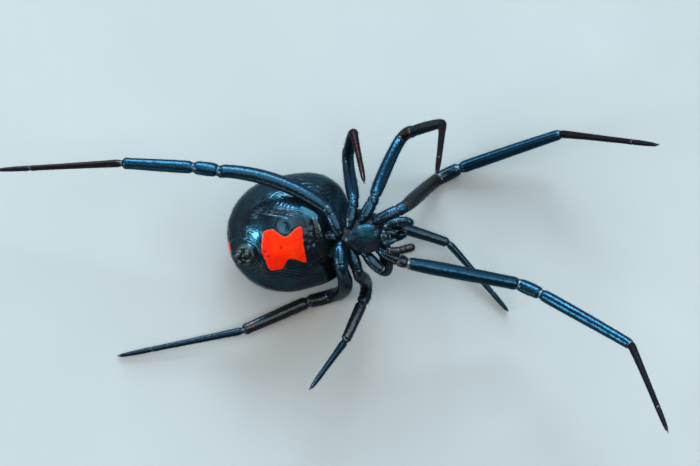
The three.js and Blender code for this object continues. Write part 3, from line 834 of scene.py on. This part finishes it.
def leg_rings(leg):
    pair, side, bow, turns = LEG_POSES[leg]
    lengths, thick = LEG_LENGTHS[pair], LEG_THICKNESS[pair]
    ways = [way_of(*turn) for turn in turns]
    ahead, out, up = HIPS[pair]
    joints = [FRONT @ Vector((ahead, out * side, up))]
    for way, length in zip(ways, lengths):
        joints.append(joints[-1] + way * length)

    def middle(i):
        return (ways[i] + ways[i + 1]).normalized()

    # each piece with its first and last joint, and the ways in which it leaves and reaches them
    pieces = (
        ("coxa", 0, 2, ways[0], middle(1)), ("femur", 2, 3, middle(1), middle(2)),
        ("patella", 3, 4, middle(2), middle(3)), ("tibia", 4, 5, middle(3), middle(4)),
        ("foot", 5, 7, middle(4), ways[6]),
    )
    profiles = [[(share, radius * thick, bare) for share, radius, bare in LEG_PROFILES[piece]]
                for piece in ("coxa", "femur", "patella", "tibia")]
    profiles.append(foot_profile(lengths[5] / (lengths[5] + lengths[6])))

    def knee(i):
        """How steeply the leg bends before a piece, the radius that both sides share there, and
        half the gap between them."""
        bend = ways[pieces[i][1] - 1].angle(ways[pieces[i][1]])
        before = max(radius for _, radius, _ in profiles[i - 1][-4:])
        after = max(radius for _, radius, _ in profiles[i][:3])
        steep = smooth_step(bend, *STEEP_BEND)
        return steep, ELBOW * (before + after) / 2, JOINT_GAP / 2 * (1 - STEEP_CLOSES * steep)

    knees = [(0, 0, JOINT_GAP / 2), *(knee(i) for i in range(1, len(pieces))), (0, 0, 0)]
    rings = [Ring(joints[0] - ways[0] * HIP_DEPTH, ways[0], HIP_RADIUS * thick)]
    for i, (piece, start, end, start_way, end_way) in enumerate(pieces):
        stations = profiles[i]
        (steep, elbow, gap), (steep_end, elbow_end, gap_end) = knees[i:i + 2]
        line = centre_line(joints[start], start_way, joints[end], end_way,
                           (stations[0][1], stations[-1][1]), (steep, steep_end), (gap, gap_end))
        span = (joints[end] - joints[start]).length
        brown = BROWN[leg].get(piece, (0, 0))
        red = FOOT_RED[leg] if piece == "foot" else (0, 0)
        skin = JOINT_SKIN[leg]
        if piece in ("coxa", "femur"):
            skin = PALE_TROCHANTER.get(leg, skin)
        if i > 0:
            neck = min(rings[-1].radius, stations[0][1])
            neck *= STRAIGHT_NECK + (1 - STRAIGHT_NECK) * steep
            neck += (elbow * STEEP_NECK - neck) * steep
            rings.append(Ring(joints[start], start_way, neck, (0, 0, skin)))
        for share, radius, bare in stations:
            centre, along = line(share)
            # a steep knee is one rounded bend, without a collar on either side
            radius += (elbow - radius) * steep * max(0, 1 - share * span / KNEE_REACH)
            radius += (elbow_end - radius) * steep_end * max(0, 1 - (1 - share) * span / KNEE_REACH)
            if piece == "femur":
                centre += Vector(bow) * 4 * share * (1 - share)
            tone = (between(brown, share), between(red, share), bare * skin)
            rings.append(Ring(centre, along, radius, tone))
    return rings


def make_claws(leg, end):
    """Two curved claws and a hook between them, on the last ring of a foot."""
    hooks = []
    for name, apart, size in (("a", 0.6, 1.0), ("b", -0.6, 1.0), ("c", 0.0, 0.6)):
        route = []
        for share in (0.0, 0.35, 0.7, 1.0):
            forward = end.along * (0.17 * size * math.sin(share * 1.9))
            down = end.up * (-0.03 - 0.13 * size * share * share)
            sideways = end.side * apart * (0.03 + 0.05 * share)
            route.append(end.centre - end.along * 0.03 + forward + down + sideways)
        rings = line_rings(smooth_route(route, 12), CLAW_PROFILE)
        hooks.append(ring_skin(f"claw_{leg}_{name}", rings, sides=6, levels=1))
    finish_piece(joined(f"claws_{leg}", hooks), FANG, "foot_cuticle")


def make_legs():
    for number, leg in enumerate(LEG_POSES):
        rings = leg_rings(leg)
        nodes = [f"leg_{leg}_{part}" for part in ("coxa", "femur", "patella", "tibia", "foot")]
        finish_piece(ring_skin(f"leg_{leg}_skin", rings), LEG, "leg_cuticle", *nodes)
        make_claws(leg, rings[-1])
        coat = Bristles(seed=100 + number)
        bristle_rings(coat, rings, 900, (0.22, 0.10), 0.012)
        coat.make(f"leg_{leg}_hair")


# Abdomen
# Places on it are [ahead, across] or [x, y], with widths and heights after them, in millimetres.

MARK_OUTLINE = (
    (-1.38, 1.33), (-1.12, 1.42), (-0.81, 1.43), (-0.61, 1.26), (-0.41, 1.02), (-0.20, 0.86),
    (0.04, 0.87), (0.33, 1.04), (0.61, 1.18), (0.87, 1.23), (0.97, 1.11), (0.92, 0.70),
    (0.84, 0.11), (0.83, -0.34), (0.80, -1.09), (0.59, -0.95), (0.27, -0.72), (-0.13, -0.55),
    (-0.33, -0.61), (-0.50, -0.88), (-0.68, -1.13), (-1.05, -1.17), (-1.41, -1.16),
    (-1.55, -0.92), (-1.59, -0.50), (-1.66, -0.10), (-1.74, 0.17), (-1.63, 0.59), (-1.48, 1.00),
)
FAR_OUTSIDE = -5
DIMPLE, DIMPLE_RADIUS = (-0.08, 1.42), 0.33      # in the notch of the mark
MARK_PITS = ((-0.52, 0.25, 0.07), (-1.50, 0.15, 0.08), (-1.38, -0.16, 0.06))
BACK_PITS = ((1.5, 0.75), (1.5, -0.75), (0.1, 0.9), (0.1, -0.9))
REAR_SPOT, REAR_SPOT_RADIUS = (0.14, 0.75), 0.42     # across and up, over the spinnerets
# Plates and furrows between the mark and the waist: how far ahead, half width, height
PLATES = ((1.16, 0.07, -0.05), (1.42, 0.12, 0.03), (1.72, 0.08, -0.08), (2.05, 0.14, 0.04))
# Smooth places that mirror the sky, from one place to another, with their width. The ridge and the
# facet swell out, the band is only smoother, and the band and the facet carry painted teal sheen.
WAIST_RIDGE = ((1.03, 1.57), (2.03, 1.07), 0.26)
WAIST_SHEEN_BAND = ((0.95, 1.42), (1.95, 0.92), 0.26)
REAR_FACET = ((-2.4, -0.7), (-1.75, 0.05), 0.26)
# Fine wrinkles: from one place to another, width, how the lines count across and along that way,
# their spacing and strength, and how far they waver, slowly and quickly
WRINKLES = {
    "fingerprint": ((-0.95, 2.12), (0.75, 1.42), 0.26, (-0.46, 0.89), 0.185, 0.32, (1.2, 1.6)),
    "dimple_folds": ((-1.3, 1.25), (0.7, 1.2), 0.20, (1.0, 0.15), 0.25, 1.1, (2.0, 2.2)),
    "shoulder": ((0.6, 3.1), (2.6, 2.3), 0.45, (-1.0, 0.5), 0.3, 0.9, (1.0, 3.0)),
    "under_mark": ((-1.5, -2.35), (0.7, -2.45), 0.26, (1.0, 0.1), 0.17, 0.8, (2.0, 1.5)),
}
MESH_WRINKLE = 0.010         # the mesh carries this height of them, and the material draws the rest
MATERIAL_WRINKLE = 0.75


def abdomen_shape(ball):
    """A globe with its own width, belly and back at each end. A higher power is a blunter end."""
    place = ball[:, 0]
    far = np.abs(place)
    ahead = place > 0

    def rounded(power_ahead, power_behind):
        power = np.where(ahead, power_ahead, power_behind)
        return np.power(np.clip(1 - np.power(far, power), 0, 1), 1 / power)

    angle = np.arctan2(ball[:, 2], ball[:, 1])
    up, across = np.sin(angle), np.cos(angle)
    width = ABDOMEN_HALF_WIDTH * rounded(2.9, 2.05)
    belly = ABDOMEN_BELLY * rounded(1.75, 2.15)
    back = ABDOMEN_BACK * rounded(2.9, 2.1)
    length = np.where(ahead, ABDOMEN_FRONT, ABDOMEN_REAR)
    return np.stack([place * length, across * width, up * np.where(up > 0, belly, back)], axis=1)


def depth_inside(points, outline):
    """How far each point lies inside an outline, negative outside, in millimetres."""
    corners = np.array(outline)
    nearest = np.full(len(points), np.inf)
    inside = np.zeros(len(points), dtype=bool)
    for (ax, ay), (bx, by) in zip(corners, np.roll(corners, -1, axis=0)):
        ex, ey = bx - ax, by - ay
        px, py = points[:, 0] - ax, points[:, 1] - ay
        t = np.clip((px * ex + py * ey) / (ex * ex + ey * ey), 0, 1)
        nearest = np.minimum(nearest, np.hypot(px - t * ex, py - t * ey))
        crosses = (ay > points[:, 1]) != (by > points[:, 1])
        with np.errstate(divide="ignore", invalid="ignore"):
            cut = ax + py / ey * ex
        inside ^= crosses & (points[:, 0] < cut)
    return np.where(inside, nearest, -nearest)


def bump_at(a, b, centre, size):
    """A soft round mask, 1 at the centre."""
    return np.exp(-(((a - centre[0]) / size[0]) ** 2 + ((b - centre[1]) / size[1]) ** 2))


def stretched(x, y, start, end, width):
    """A soft mask along a line from start to end, and the two ways along and across it."""
    way = np.array(end) - np.array(start)
    length = np.linalg.norm(way)
    way = way / length
    along = (x - start[0]) * way[0] + (y - start[1]) * way[1]
    across = -(x - start[0]) * way[1] + (y - start[1]) * way[0]
    off = np.clip(np.maximum(-along, along - length), 0, None)
    return fade(np.hypot(off, across), width), along, across


def field(points, scale, seed):
    """Smooth noise, about -1 to 1, at each point."""
    shift = Vector((seed * 7.3, seed * 3.1, seed * 5.7))
    return np.array([noise.noise(Vector(point) * scale + shift) for point in points])


def carve_abdomen(skin):
    """Moves the points in and out, and paints on them what the material reads."""
    points = mesh_points(skin) / MM
    own = from_frame(ABDOMEN, points)
    ahead, across, up = own.T
    x, y = points[:, 0], points[:, 1]
    belly = smooth_step(up, 0.2, 1.2)
    slow, medium, fine = field(points, 0.9, 1), field(points, 2.6, 2), field(points, 7.0, 3)
    lift = 0.03 * slow + 0.010 * medium + 0.004 * fine

    # the mark stands up a little inside a groove, with the dimple beside it and small pits in it
    mark = np.where(up > 0, depth_inside(own[:, :2], MARK_OUTLINE), FAR_OUTSIDE)
    lift += belly * (0.018 * smooth_step(mark, -0.02, 0.1) - 0.035 * fade(mark + 0.05, 0.06))
    dimple_gap = np.hypot(ahead - DIMPLE[0], across - DIMPLE[1])
    lift += belly * (0.03 * fade(dimple_gap - DIMPLE_RADIUS * 1.25, 0.1)
                     - 0.075 * fade(dimple_gap, DIMPLE_RADIUS * 0.75))
    pits = np.max([fade(np.hypot(ahead - pit_ahead, across - pit_across), size)
                   for pit_ahead, pit_across, size in MARK_PITS], axis=0) * belly
    lift -= 0.05 * pits

    # fine wrinkles: where two sets of lines meet, the stronger one shows
    zones = {}
    for name, (start, end, width, counts, spacing, strength, waver) in WRINKLES.items():
        mask, along, off = stretched(x, y, start, end, width)
        lines = (off * counts[0] + along * counts[1]) * math.tau / spacing
        zones[name] = mask * (up > 0), lines + waver[0] * slow + waver[1] * medium, strength
    ring_gap = np.hypot((ahead + 2.72) * 1.15, across)
    zones["spinneret_rings"] = (belly * fade(ring_gap - 1.1, 0.3),
                                ring_gap * math.tau / 0.24 + 2.5 * slow + 1.5 * medium, 0.8)
    best, second, phase = np.zeros((3, len(points)))
    for mask, lines, strength in zones.values():
        mask = mask * strength
        phase = np.where(mask > best, lines, phase)
        second = np.maximum(second, np.minimum(best, mask))
        best = np.maximum(best, mask)
    wrinkle = (best - second) * (0.75 + 0.5 * fine)
    lift += MESH_WRINKLE * wrinkle * np.sin(phase)

    # smooth swellings beside the waist and behind the mark, then plates and lumps round them
    ridge, sheen_band, facet = (stretched(x, y, *place)[0]
                          for place in (WAIST_RIDGE, WAIST_SHEEN_BAND, REAR_FACET))
    lift += belly * (0.09 * ridge + 0.02 * facet)
    rough_part = belly * (1 - np.maximum(ridge, sheen_band)) ** 2
    for place, half, height in PLATES:
        bend = place + 0.04 * across ** 2 + 0.06 * medium
        lift += (rough_part * height * fade(ahead - bend, half)
                 * smooth_step(1.75 - np.abs(across), 0, 0.6))
    for side in (-1, 1):
        lift += belly * 0.06 * bump_at(ahead, across, (1.95, 1.05 * side), (0.42, 0.42))
    lift += (rough_part * 0.10 * field(points, 3.6, 5) * fade(ahead - 1.42, 0.30)
             * smooth_step(1.7 - np.abs(across), 0, 0.5))
    # a raised fold and a furrow round the spinnerets, and muscle pits on the back
    lift += belly * (0.05 * fade(ring_gap - 0.92, 0.1) - 0.07 * fade(ring_gap - 0.79, 0.07))
    for pit in BACK_PITS:
        lift -= np.where(up < 0, 0.07, 0) * bump_at(ahead, across, pit, (0.14, 0.14))
    set_mesh_points(skin, (points + mesh_normals(skin) * lift[:, None]) * MM)

    spot_gap = np.hypot((across - REAR_SPOT[0]) / 0.9, (up - REAR_SPOT[1]) / 1.2)
    spot = np.where(ahead < -2.9, REAR_SPOT_RADIUS - spot_gap + 0.05 * medium, FAR_OUTSIDE)
    brown = belly * np.maximum(
        0.8 * bump_at(ahead, across, (1.62, 0.35), (0.2, 0.55)) * smooth_step(medium, -0.5, 0.4),
        0.4 * (bump_at(ahead, across, (1.95, 0.9), (0.25, 0.3))
               + bump_at(ahead, across, (1.9, -0.9), (0.3, 0.4))))
    # painted teal sheen: a brighter blue reflecting colour put where the lamps' reflections should
    # fall, on the dimple, left of the mark, on the band and the facet, and over the fingerprint
    # wrinkles
    painted_sheen = belly * np.max([0.22 * fade(dimple_gap, DIMPLE_RADIUS * 1.3),
                           0.6 * bump_at(x, y, (-1.85, 0.2), (0.4, 0.4)),
                           0.85 * sheen_band, 0.95 * facet], axis=0)
    painted_values = {
        "mark_depth": np.maximum(mark, spot),
        "brown_share": brown,
        "pit_share": pits,
        "painted_sheen_share": np.maximum(painted_sheen, 0.4 * zones["fingerprint"][0]),
        "grain_share": 0.65 - 0.6 * np.maximum(sheen_band, facet) * belly,
        "wrinkle_phase": phase,
        "wrinkle_depth": MATERIAL_WRINKLE * wrinkle,
    }
    for name, values in painted_values.items():
        layer = skin.data.attributes.new(name, "FLOAT", "POINT")
        layer.data.foreach_set("value", values.astype(np.float32))
    rest_on_floor(skin)


def make_abdomen():
    skin = shaped_ball("abdomen_skin", 100, abdomen_shape, ABDOMEN)
    carve_abdomen(skin)
    finish_piece(skin, ABDOMEN_SKIN, "abdomen_cuticle", "abdomen", "hourglass_mark")

    def thin_on_the_mark(own):
        inside = depth_inside(own[:, :2], MARK_OUTLINE) > -0.1
        return np.where(inside & (own[:, 2] > 0), 0.25, 1)

    coat = Bristles(seed=11)
    scatter(coat, skin, ABDOMEN, 4500, 0.11, 0.010, (-1, 0, 0), thin_on_the_mark)
    coat.make("abdomen_hair")


# Spinnerets

SPINNERET_BASE = 2.62
SPINNERET_TIP = SPINNERET_BASE + 0.62
# Spinnerets of one side, front to rear pair: start, end, radius at the start and at the end
SPINNERETS = {
    "front": ((-2.5, 0.28, SPINNERET_BASE), (-2.64, 0.19, SPINNERET_TIP + 0.08), (0.25, 0.15)),
    "middle": ((-2.74, 0.12, SPINNERET_BASE), (-2.88, 0.12, SPINNERET_TIP - 0.12), (0.14, 0.09)),
    "rear": ((-2.94, 0.28, SPINNERET_BASE - 0.2), (-3.18, 0.22, SPINNERET_TIP - 0.2),
             (0.23, 0.14)),
}
# Share of the length, of the way from the first radius to the second, and a size
SPINNERET_PROFILE = (
    (-0.1, 0.0, 0.9), (0.15, 0.0, 1.0), (0.4, 0.25, 0.98), (0.56, 0.45, 1.0), (0.6, 0.5, 0.86),
    (0.64, 0.55, 0.92), (0.85, 0.9, 1.0), (0.95, 1.0, 0.92), (1.0, 1.0, 0.6), (1.02, 1.0, 0.2),
)
COLLAR = ((-2.62, 0, SPINNERET_BASE - 0.26), (-2.86, 0, SPINNERET_BASE + 0.14))
COLLAR_PROFILE = (
    (0, 0.70), (0.25, 0.71), (0.42, 0.69), (0.50, 0.65), (0.58, 0.67), (0.70, 0.65), (0.80, 0.59),
    (0.84, 0.52), (0.80, 0.45), (0.70, 0.38),
)
TUBERCLE_PROFILE = ((0, 0.2), (0.3, 0.2), (0.6, 0.18), (0.85, 0.13), (1, 0.05))


def make_spinnerets():
    coat = Bristles(seed=21)
    start, end = (ABDOMEN @ Vector(place) for place in COLLAR)
    rings = straight_rings(start, end, COLLAR_PROFILE)
    made = [ring_skin("spinneret_collar", rings, sides=20)]
    bristle_rings(coat, rings[2:8], 90, (0.16, 0.16), 0.010)
    for pair, (root, tip, radii) in SPINNERETS.items():
        profile = [(share, between(radii, taper) * size)
                   for share, taper, size in SPINNERET_PROFILE]
        for side in (-1, 1):
            start, end = (ABDOMEN @ Vector((ahead, across * side, up))
                          for ahead, across, up in (root, tip))
            rings = straight_rings(start, end, profile)
            made.append(ring_skin(f"spinneret_{pair}_{side}", rings, sides=14))
            bristle_rings(coat, rings[:8], 60, (0.13, 0.13), 0.009)
    tubercle = [Ring(ABDOMEN @ Vector((-3.12 - 0.3 * share, 0, 2.42 + 0.12 * share)),
                     ABDOMEN.to_3x3() @ Vector((-0.92, 0, 0.38)), radius)
                for share, radius in TUBERCLE_PROFILE]
    made.append(ring_skin("anal_tubercle", tubercle))
    finish_piece(joined("spinneret_group", made), SPINNERET, "spinneret_cuticle", "spinnerets")
    coat.make("spinneret_hair")


# Front body

STERNUM_DOME = 0.13          # half the height of the sternum's curve
CARAPACE_PIT = -0.35         # where the pit in the middle of the back is
CARAPACE_END = 0.937         # how far along the ball the carapace ends
FACE = CARAPACE_REAR + CARAPACE_LENGTH
# Eyes of one side: how far across, behind the face and down from the rim
EYES = ((0.15, -0.12, -0.5), (0.5, -0.3, -0.42), (0.18, -0.32, -0.88), (0.55, -0.48, -0.72))


def sternum_outline(angle):
    """How far the shield reaches from its middle, by the angle from straight ahead."""
    half = STERNUM_WIDTH / 2
    rear, tip = -STERNUM_LENGTH * 0.55, STERNUM_LENGTH * 0.45
    side = ((rear, 0), (rear * 0.93, half * 0.2), (rear * 0.72, half * 0.48),
            (rear * 0.35, half * 0.85), (0, half), (tip * 0.6, half * 0.99),
            (tip * 0.85, half * 0.88), (tip, half * 0.62), (tip, 0))
    angles = [math.atan2(across, ahead) for ahead, across in side]
    reaches = [math.hypot(across, ahead) for ahead, across in side]
    return np.interp(np.abs(angle), angles[::-1], reaches[::-1])


def sternum_shape(ball):
    """A shield with a low dome, a furrow inside its edge and lobes between the legs."""
    angle = np.arctan2(ball[:, 1], ball[:, 0])
    share = np.power(np.hypot(ball[:, 0], ball[:, 1]), 0.75)
    reach = sternum_outline(angle) * share
    height, top = np.abs(ball[:, 2]), ball[:, 2] > 0
    dome = np.where(top, 2 * STERNUM_DOME * np.power(height, 0.8),
                    -(STERNUM_THICKNESS - STERNUM_DOME) * height) - STERNUM_DOME
    edge = 0.03 * fade(share - 0.93, 0.05)
    lobes = 0.02 * np.cos(angle * 6) * smooth_step(share, 0.4, 0.8)
    return np.stack([reach * np.cos(angle), reach * np.sin(angle), dome + (lobes - edge) * top],
                    axis=1)


def carapace_section(place):
    """Half the width and the height of the carapace, by share of its length from the rear."""
    rear = np.power(np.minimum(1, np.maximum(place, 0.02) / 0.34), 0.55)
    neck = 1 - 0.36 * np.clip((place - 0.55) / 0.3, 0, 1)
    tip = np.maximum(place - 0.9, 0) / 0.115
    front = np.sqrt(np.clip(1 - tip ** 2, 0, 1))
    crown = 0.18 + 0.82 * np.sin(math.pi / 2 * np.clip(place / 0.6, 0, 1))
    width = CARAPACE_WIDTH / 2 * (0.3 + 0.7 * rear) * neck * (0.35 + 0.65 * front)
    return width, CARAPACE_HEIGHT * crown * (0.5 + 0.5 * front)


def carapace_shape(ball):
    """A flat rim with the vaulted back hanging under it, since the animal lies belly up."""
    place = np.clip((ball[:, 0] / CARAPACE_END + 1) / 2, 0, 1)
    end = np.minimum(1, np.hypot(ball[:, 1], ball[:, 2]) / 0.35)
    width, height = carapace_section(place)
    angle = np.arctan2(ball[:, 2], ball[:, 1])
    s, c = np.sin(angle), np.cos(angle)
    back = s < 0
    across = np.sign(c) * np.power(np.abs(c), 0.85) * width * end
    up = np.where(back, s * height, s * RIM_DEPTH) * end + CARAPACE_RIM - RIM_DEPTH
    # a pit in the middle of the back, grooves that run out from it, and a raised rim
    x = CARAPACE_REAR + CARAPACE_LENGTH * place
    up += 0.16 * bump_at(x, across, (CARAPACE_PIT, 0), (0.16, 0.2)) * back
    for slope in (-0.77, -0.315, 0.315, 0.77):
        off = x - CARAPACE_PIT - slope * np.abs(across)
        up += 0.035 * fade(off, 0.09) * smooth_step(np.abs(across), 0.1, 0.3) * back
    rim = fade(np.abs(c) - 0.97, 0.03) * (s < 0.2)
    return np.stack([x, across * (1 + 0.02 * rim), up], axis=1)


def flank_shape(ball):
    """The soft sides between sternum and carapace, drawn in between the legs."""
    swell = 1 + 0.05 * np.sin(np.arctan2(ball[:, 1], ball[:, 0]) * 8)
    return np.stack([ball[:, 0] * 1.2 - 0.08, ball[:, 1] * 1.02 * swell * (1 + 0.12 * ball[:, 0]),
                     ball[:, 2] * 0.46 - 0.78], axis=1)


def make_front_body():
    plate = shaped_ball("sternum_plate", 26, sternum_shape, FRONT, levels=1)
    finish_piece(plate, STERNUM, "body_cuticle", "sternum")
    shell = shaped_ball("carapace_shell", 26, carapace_shape, FRONT, levels=1)
    finish_piece(shell, SHELL, "body_cuticle", "carapace")
    flanks = shaped_ball("side_skin", 14, flank_shape, FRONT, levels=1)
    finish_piece(flanks, SOFT_SKIN, "body_cuticle")

    lenses = []
    for number, (across, back, down) in enumerate(EYES):
        for side in (-1, 1):
            middle = np.array((FACE + back, across * side, CARAPACE_RIM - RIM_DEPTH + down))

            def eye_shape(ball, middle=middle):
                return ball * EYE_RADIUS * (1 + 0.05 * fade(ball[:, :1] - 0.1, 0.12)) + middle
            lenses.append(shaped_ball(f"eye_{number}_{side}", 5, eye_shape, FRONT, levels=1))
    finish_piece(joined("eyes", lenses), EYE, "body_cuticle")

    coat = Bristles(seed=31)
    scatter(coat, plate, FRONT, 420, 0.16, 0.010, (0.5, 0, 0.2), lambda own: own[:, 2] > -0.25)
    scatter(coat, shell, FRONT, 500, 0.12, 0.010, (1, 0, 0), lambda own: own[:, 2] < -1.4)
    coat.make("front_body_hair")


def make_mouthparts():
    rear = STERNUM_LENGTH * 0.45 + JOINT_GAP

    def labium_shape(ball):
        taper = 1 - 0.28 * ball[:, 0]
        return np.stack([rear + 0.10 + ball[:, 0] * 0.27, ball[:, 1] * 0.33 * taper,
                         -0.17 + ball[:, 2] * 0.2], axis=1)

    parts = [shaped_ball("labium", 6, labium_shape, FRONT, levels=2)]
    for side in (-1, 1):
        def endite_shape(ball, side=side):
            share = (ball[:, 0] + 1) / 2
            middle = side * (0.34 - 0.16 * share + 0.05 * np.sin(share * 3.1))
            half = 0.24 * (1 - 0.18 * share)
            return np.stack([rear - 0.08 + share * 0.96, middle + ball[:, 1] * half,
                             -0.16 + 0.12 * share + ball[:, 2] * 0.24], axis=1)
        parts.append(shaped_ball(f"endite_{side}", 8, endite_shape, FRONT, levels=2))
    finish_piece(joined("mouthparts_skin", parts), MOUTH, "body_cuticle", "mouthparts")


# The jaws: side, root and tip
CHELICERAE = {
    "r": (1, (1.8, 0.43, -1.2), (2.5, 0.54, -0.3)),
    "l": (-1, (1.82, -0.43, -1.2), (2.58, 0.03, -0.33)),
}
CHELICERA_PROFILE = (
    (0, 0.24), (0.06, 0.28), (0.25, 0.31), (0.5, 0.30), (0.7, 0.27), (0.86, 0.22), (0.94, 0.18),
    (1.0, 0.12), (1.02, 0.05),
)
FANG_PROFILE = ((0, 0.1), (0.2, 0.095), (0.45, 0.075), (0.7, 0.05), (0.9, 0.025), (1, 0.008))
# The fang's curve from the tip of its jaw: how far down the jaw, inward and ahead
FANG_ROUTE = ((-0.1, 0, 0), (0.06, 0, 0.02), (0.1, 0.12, -0.08), (0.04, 0.26, -0.2))


def make_chelicerae():
    coat = Bristles(seed=41)
    for name, (side, root, tip) in CHELICERAE.items():
        start, end = FRONT @ Vector(root), FRONT @ Vector(tip)
        rings = straight_rings(start, end, CHELICERA_PROFILE, lambda share: (0.1, 0.12 * share, 0))
        body = ring_skin(f"chelicera_{name}_skin", rings, sides=14)
        finish_piece(body, LEG, "body_cuticle", f"chelicera_{name}")
        bristle_rings(coat, rings, 150, (0.18, 0.18), 0.010)
        down = (end - start).normalized()
        inward, ahead = (FRONT.to_3x3() @ Vector(way) for way in ((0, -side, 0), (1, 0, 0)))
        line = smooth_route([end + down * a + inward * b + ahead * c for a, b, c in FANG_ROUTE], 16)
        fang = ring_skin(f"fang_{name}", line_rings(line, FANG_PROFILE), sides=10, levels=1)
        finish_piece(fang, FANG, "body_cuticle")
    coat.make("chelicera_hair")


PALP_ROUTES = {
    "r": ((1.35, 0.62, 0.10), (1.52, 0.80, 0.26), (1.85, 0.98, 0.32), (2.4, 1.04, 0.24),
          (2.84, 0.90, 0.12), (3.02, 0.62, 0.02)),
    "l": ((1.35, -0.72, 0.06), (1.55, -0.81, 0.16), (1.85, -0.87, 0.2), (2.4, -0.8, 0.19),
          (2.8, -0.74, 0.16), (3.1, -0.71, 0.11)),
}
# Share of the length, radius, how bare the skin is
PALP_PROFILE = (
    (0, 0.2, 0), (0.06, 0.22, 0), (0.12, 0.225, 0), (0.14, 0.2, 0.3), (0.16, 0.225, 0),
    (0.28, 0.245, 0), (0.42, 0.235, 0), (0.45, 0.213, 0.15), (0.48, 0.235, 0), (0.56, 0.24, 0),
    (0.6, 0.217, 0.1), (0.63, 0.237, 0), (0.72, 0.245, 0), (0.76, 0.22, 0.1), (0.79, 0.235, 0),
    (0.86, 0.235, 0), (0.92, 0.2, 0), (0.965, 0.14, 0), (0.99, 0.06, 0),
)
# How brown each palp is, and how red at its start and its end
PALP_TONES = {"r": (0.1, (0.1, 0.1)), "l": (0.5, (0.25, 0.85))}


def make_palps():
    coat = Bristles(seed=51)
    for name, route in PALP_ROUTES.items():
        line = smooth_route([FRONT @ Vector(place) for place in route])
        brown, red = PALP_TONES[name]
        rings = [Ring(*line(share), radius, (brown, between(red, share), bare))
                 for share, radius, bare in PALP_PROFILE]
        skin = ring_skin(f"palp_{name}_skin", rings)
        finish_piece(skin, LEG, "leg_cuticle", f"palp_{name}")
        bristle_rings(coat, rings, 320, (0.2, 0.2), 0.010)
    coat.make("palp_hair")


PEDICEL_PROFILE = (
    (0, 0.42), (0.14, 0.38), (0.22, 0.31), (0.34, 0.3), (0.4, 0.26), (0.46, 0.3), (0.6, 0.3),
    (0.66, 0.26), (0.72, 0.31), (0.88, 0.35), (1.0, 0.32),
)


def make_pedicel():
    behind = FRONT @ Vector((CARAPACE_REAR - 1.15, 0, -1.65))
    ahead = FRONT @ Vector((CARAPACE_REAR - JOINT_GAP + 0.3, 0, -1.3))
    rings = straight_rings(behind, ahead, PEDICEL_PROFILE, lambda share: (0.1, 0, 0.03))
    finish_piece(ring_skin("pedicel_skin", rings, sides=14), LEG, "body_cuticle", "pedicel")


# Studio

FLOOR_SIZE = 1.6
FLOOR_TONES = ((0.345, 0.330, 0.312), (0.372, 0.355, 0.335))
STUDIO_MIDDLE = Vector((0.003, 0, 0.005))
LAMP_DISTANCE = 1.0
# Heading and lean from straight up in degrees, size in metres, power, colour
LAMPS = {
    "sky": (72, 50, (1.20, 0.90), 10.4, (0.45, 0.78, 1.0)),
    "window_left": (102, 75, (0.40, 0.40), 11.6, (0.62, 0.86, 1.0)),
    "window_middle": (82, 54, (0.36, 0.26), 7.6, (0.62, 0.86, 1.0)),
    "window_right": (2, 41, (0.44, 0.28), 3.2, (0.62, 0.86, 1.0)),
    "far_window": (135, 79, (0.40, 0.28), 3.6, (0.60, 0.84, 1.0)),
    "side_window": (186, 63, (0.40, 0.50), 8.8, (0.70, 0.88, 1.0)),
    "overhead": (60, 8, (0.83, 0.83), 5.3, (1.0, 0.94, 0.88)),
    "warm_fill": (235, 78, (0.60, 0.30), 2.0, (1.0, 0.72, 0.45)),
}
CAMERA_PLACE = (0.00372, 0, 0.2375)          # it looks straight down
SENSOR_WIDTH = 36
VIEW_WIDTH, VIEW_DISTANCE = 42, 230          # the picture is this wide this far from the camera


def make_floor():
    clear_selection()
    bpy.ops.mesh.primitive_plane_add(size=FLOOR_SIZE, location=(0.003, 0, -FLOOR_DROP * MM))
    floor = bpy.context.object
    floor.name = "floor"
    bpy.ops.object.transform_apply(location=True, rotation=True, scale=True)
    material, tree, shader = new_material("pale_floor")
    cloud = noise_texture(tree, object_place(tree), 60.0, 4.0)
    colour = colour_mix(tree, spread(tree, cloud, 0.3, 0.7), *FLOOR_TONES)
    tree.links.new(colour, shader.inputs["Base Color"])
    shader.inputs["Roughness"].default_value = 0.8
    shader.inputs["Specular IOR Level"].default_value = 0.05
    floor.data.materials.append(material)


def add_lamp(name, heading, lean, size, power, colour):
    lamp = bpy.data.lights.new(name, "AREA")
    lamp.shape = "RECTANGLE"
    lamp.size, lamp.size_y = size
    lamp.energy = power
    lamp.color = colour
    holder = bpy.data.objects.new(name, lamp)
    bpy.context.scene.collection.objects.link(holder)
    way = way_of(heading, 90 - lean)
    holder.location = STUDIO_MIDDLE + way * LAMP_DISTANCE
    holder.rotation_euler = (-way).to_track_quat("-Z", "Y").to_euler()


def make_studio():
    make_floor()
    for name, settings in LAMPS.items():
        add_lamp(name, *settings)
    world = bpy.data.worlds.new("room")
    world.use_nodes = True
    room = world.node_tree.nodes["Background"]
    room.inputs["Color"].default_value = (0.86, 0.88, 0.90, 1)
    room.inputs["Strength"].default_value = 0.10
    bpy.context.scene.world = world
    bpy.context.scene.view_settings.view_transform = "Standard"


def make_camera():
    lens = bpy.data.cameras.new("camera")
    lens.sensor_width = SENSOR_WIDTH
    lens.lens = SENSOR_WIDTH * VIEW_DISTANCE / VIEW_WIDTH
    lens.clip_start, lens.clip_end = 0.01, 10
    camera = bpy.data.objects.new("camera", lens)
    camera.location = CAMERA_PLACE
    bpy.context.scene.collection.objects.link(camera)
    bpy.context.scene.camera = camera


make_camera()
make_studio()
make_abdomen()
make_spinnerets()
make_front_body()
make_mouthparts()
make_chelicerae()
make_palps()
make_pedicel()
make_legs()
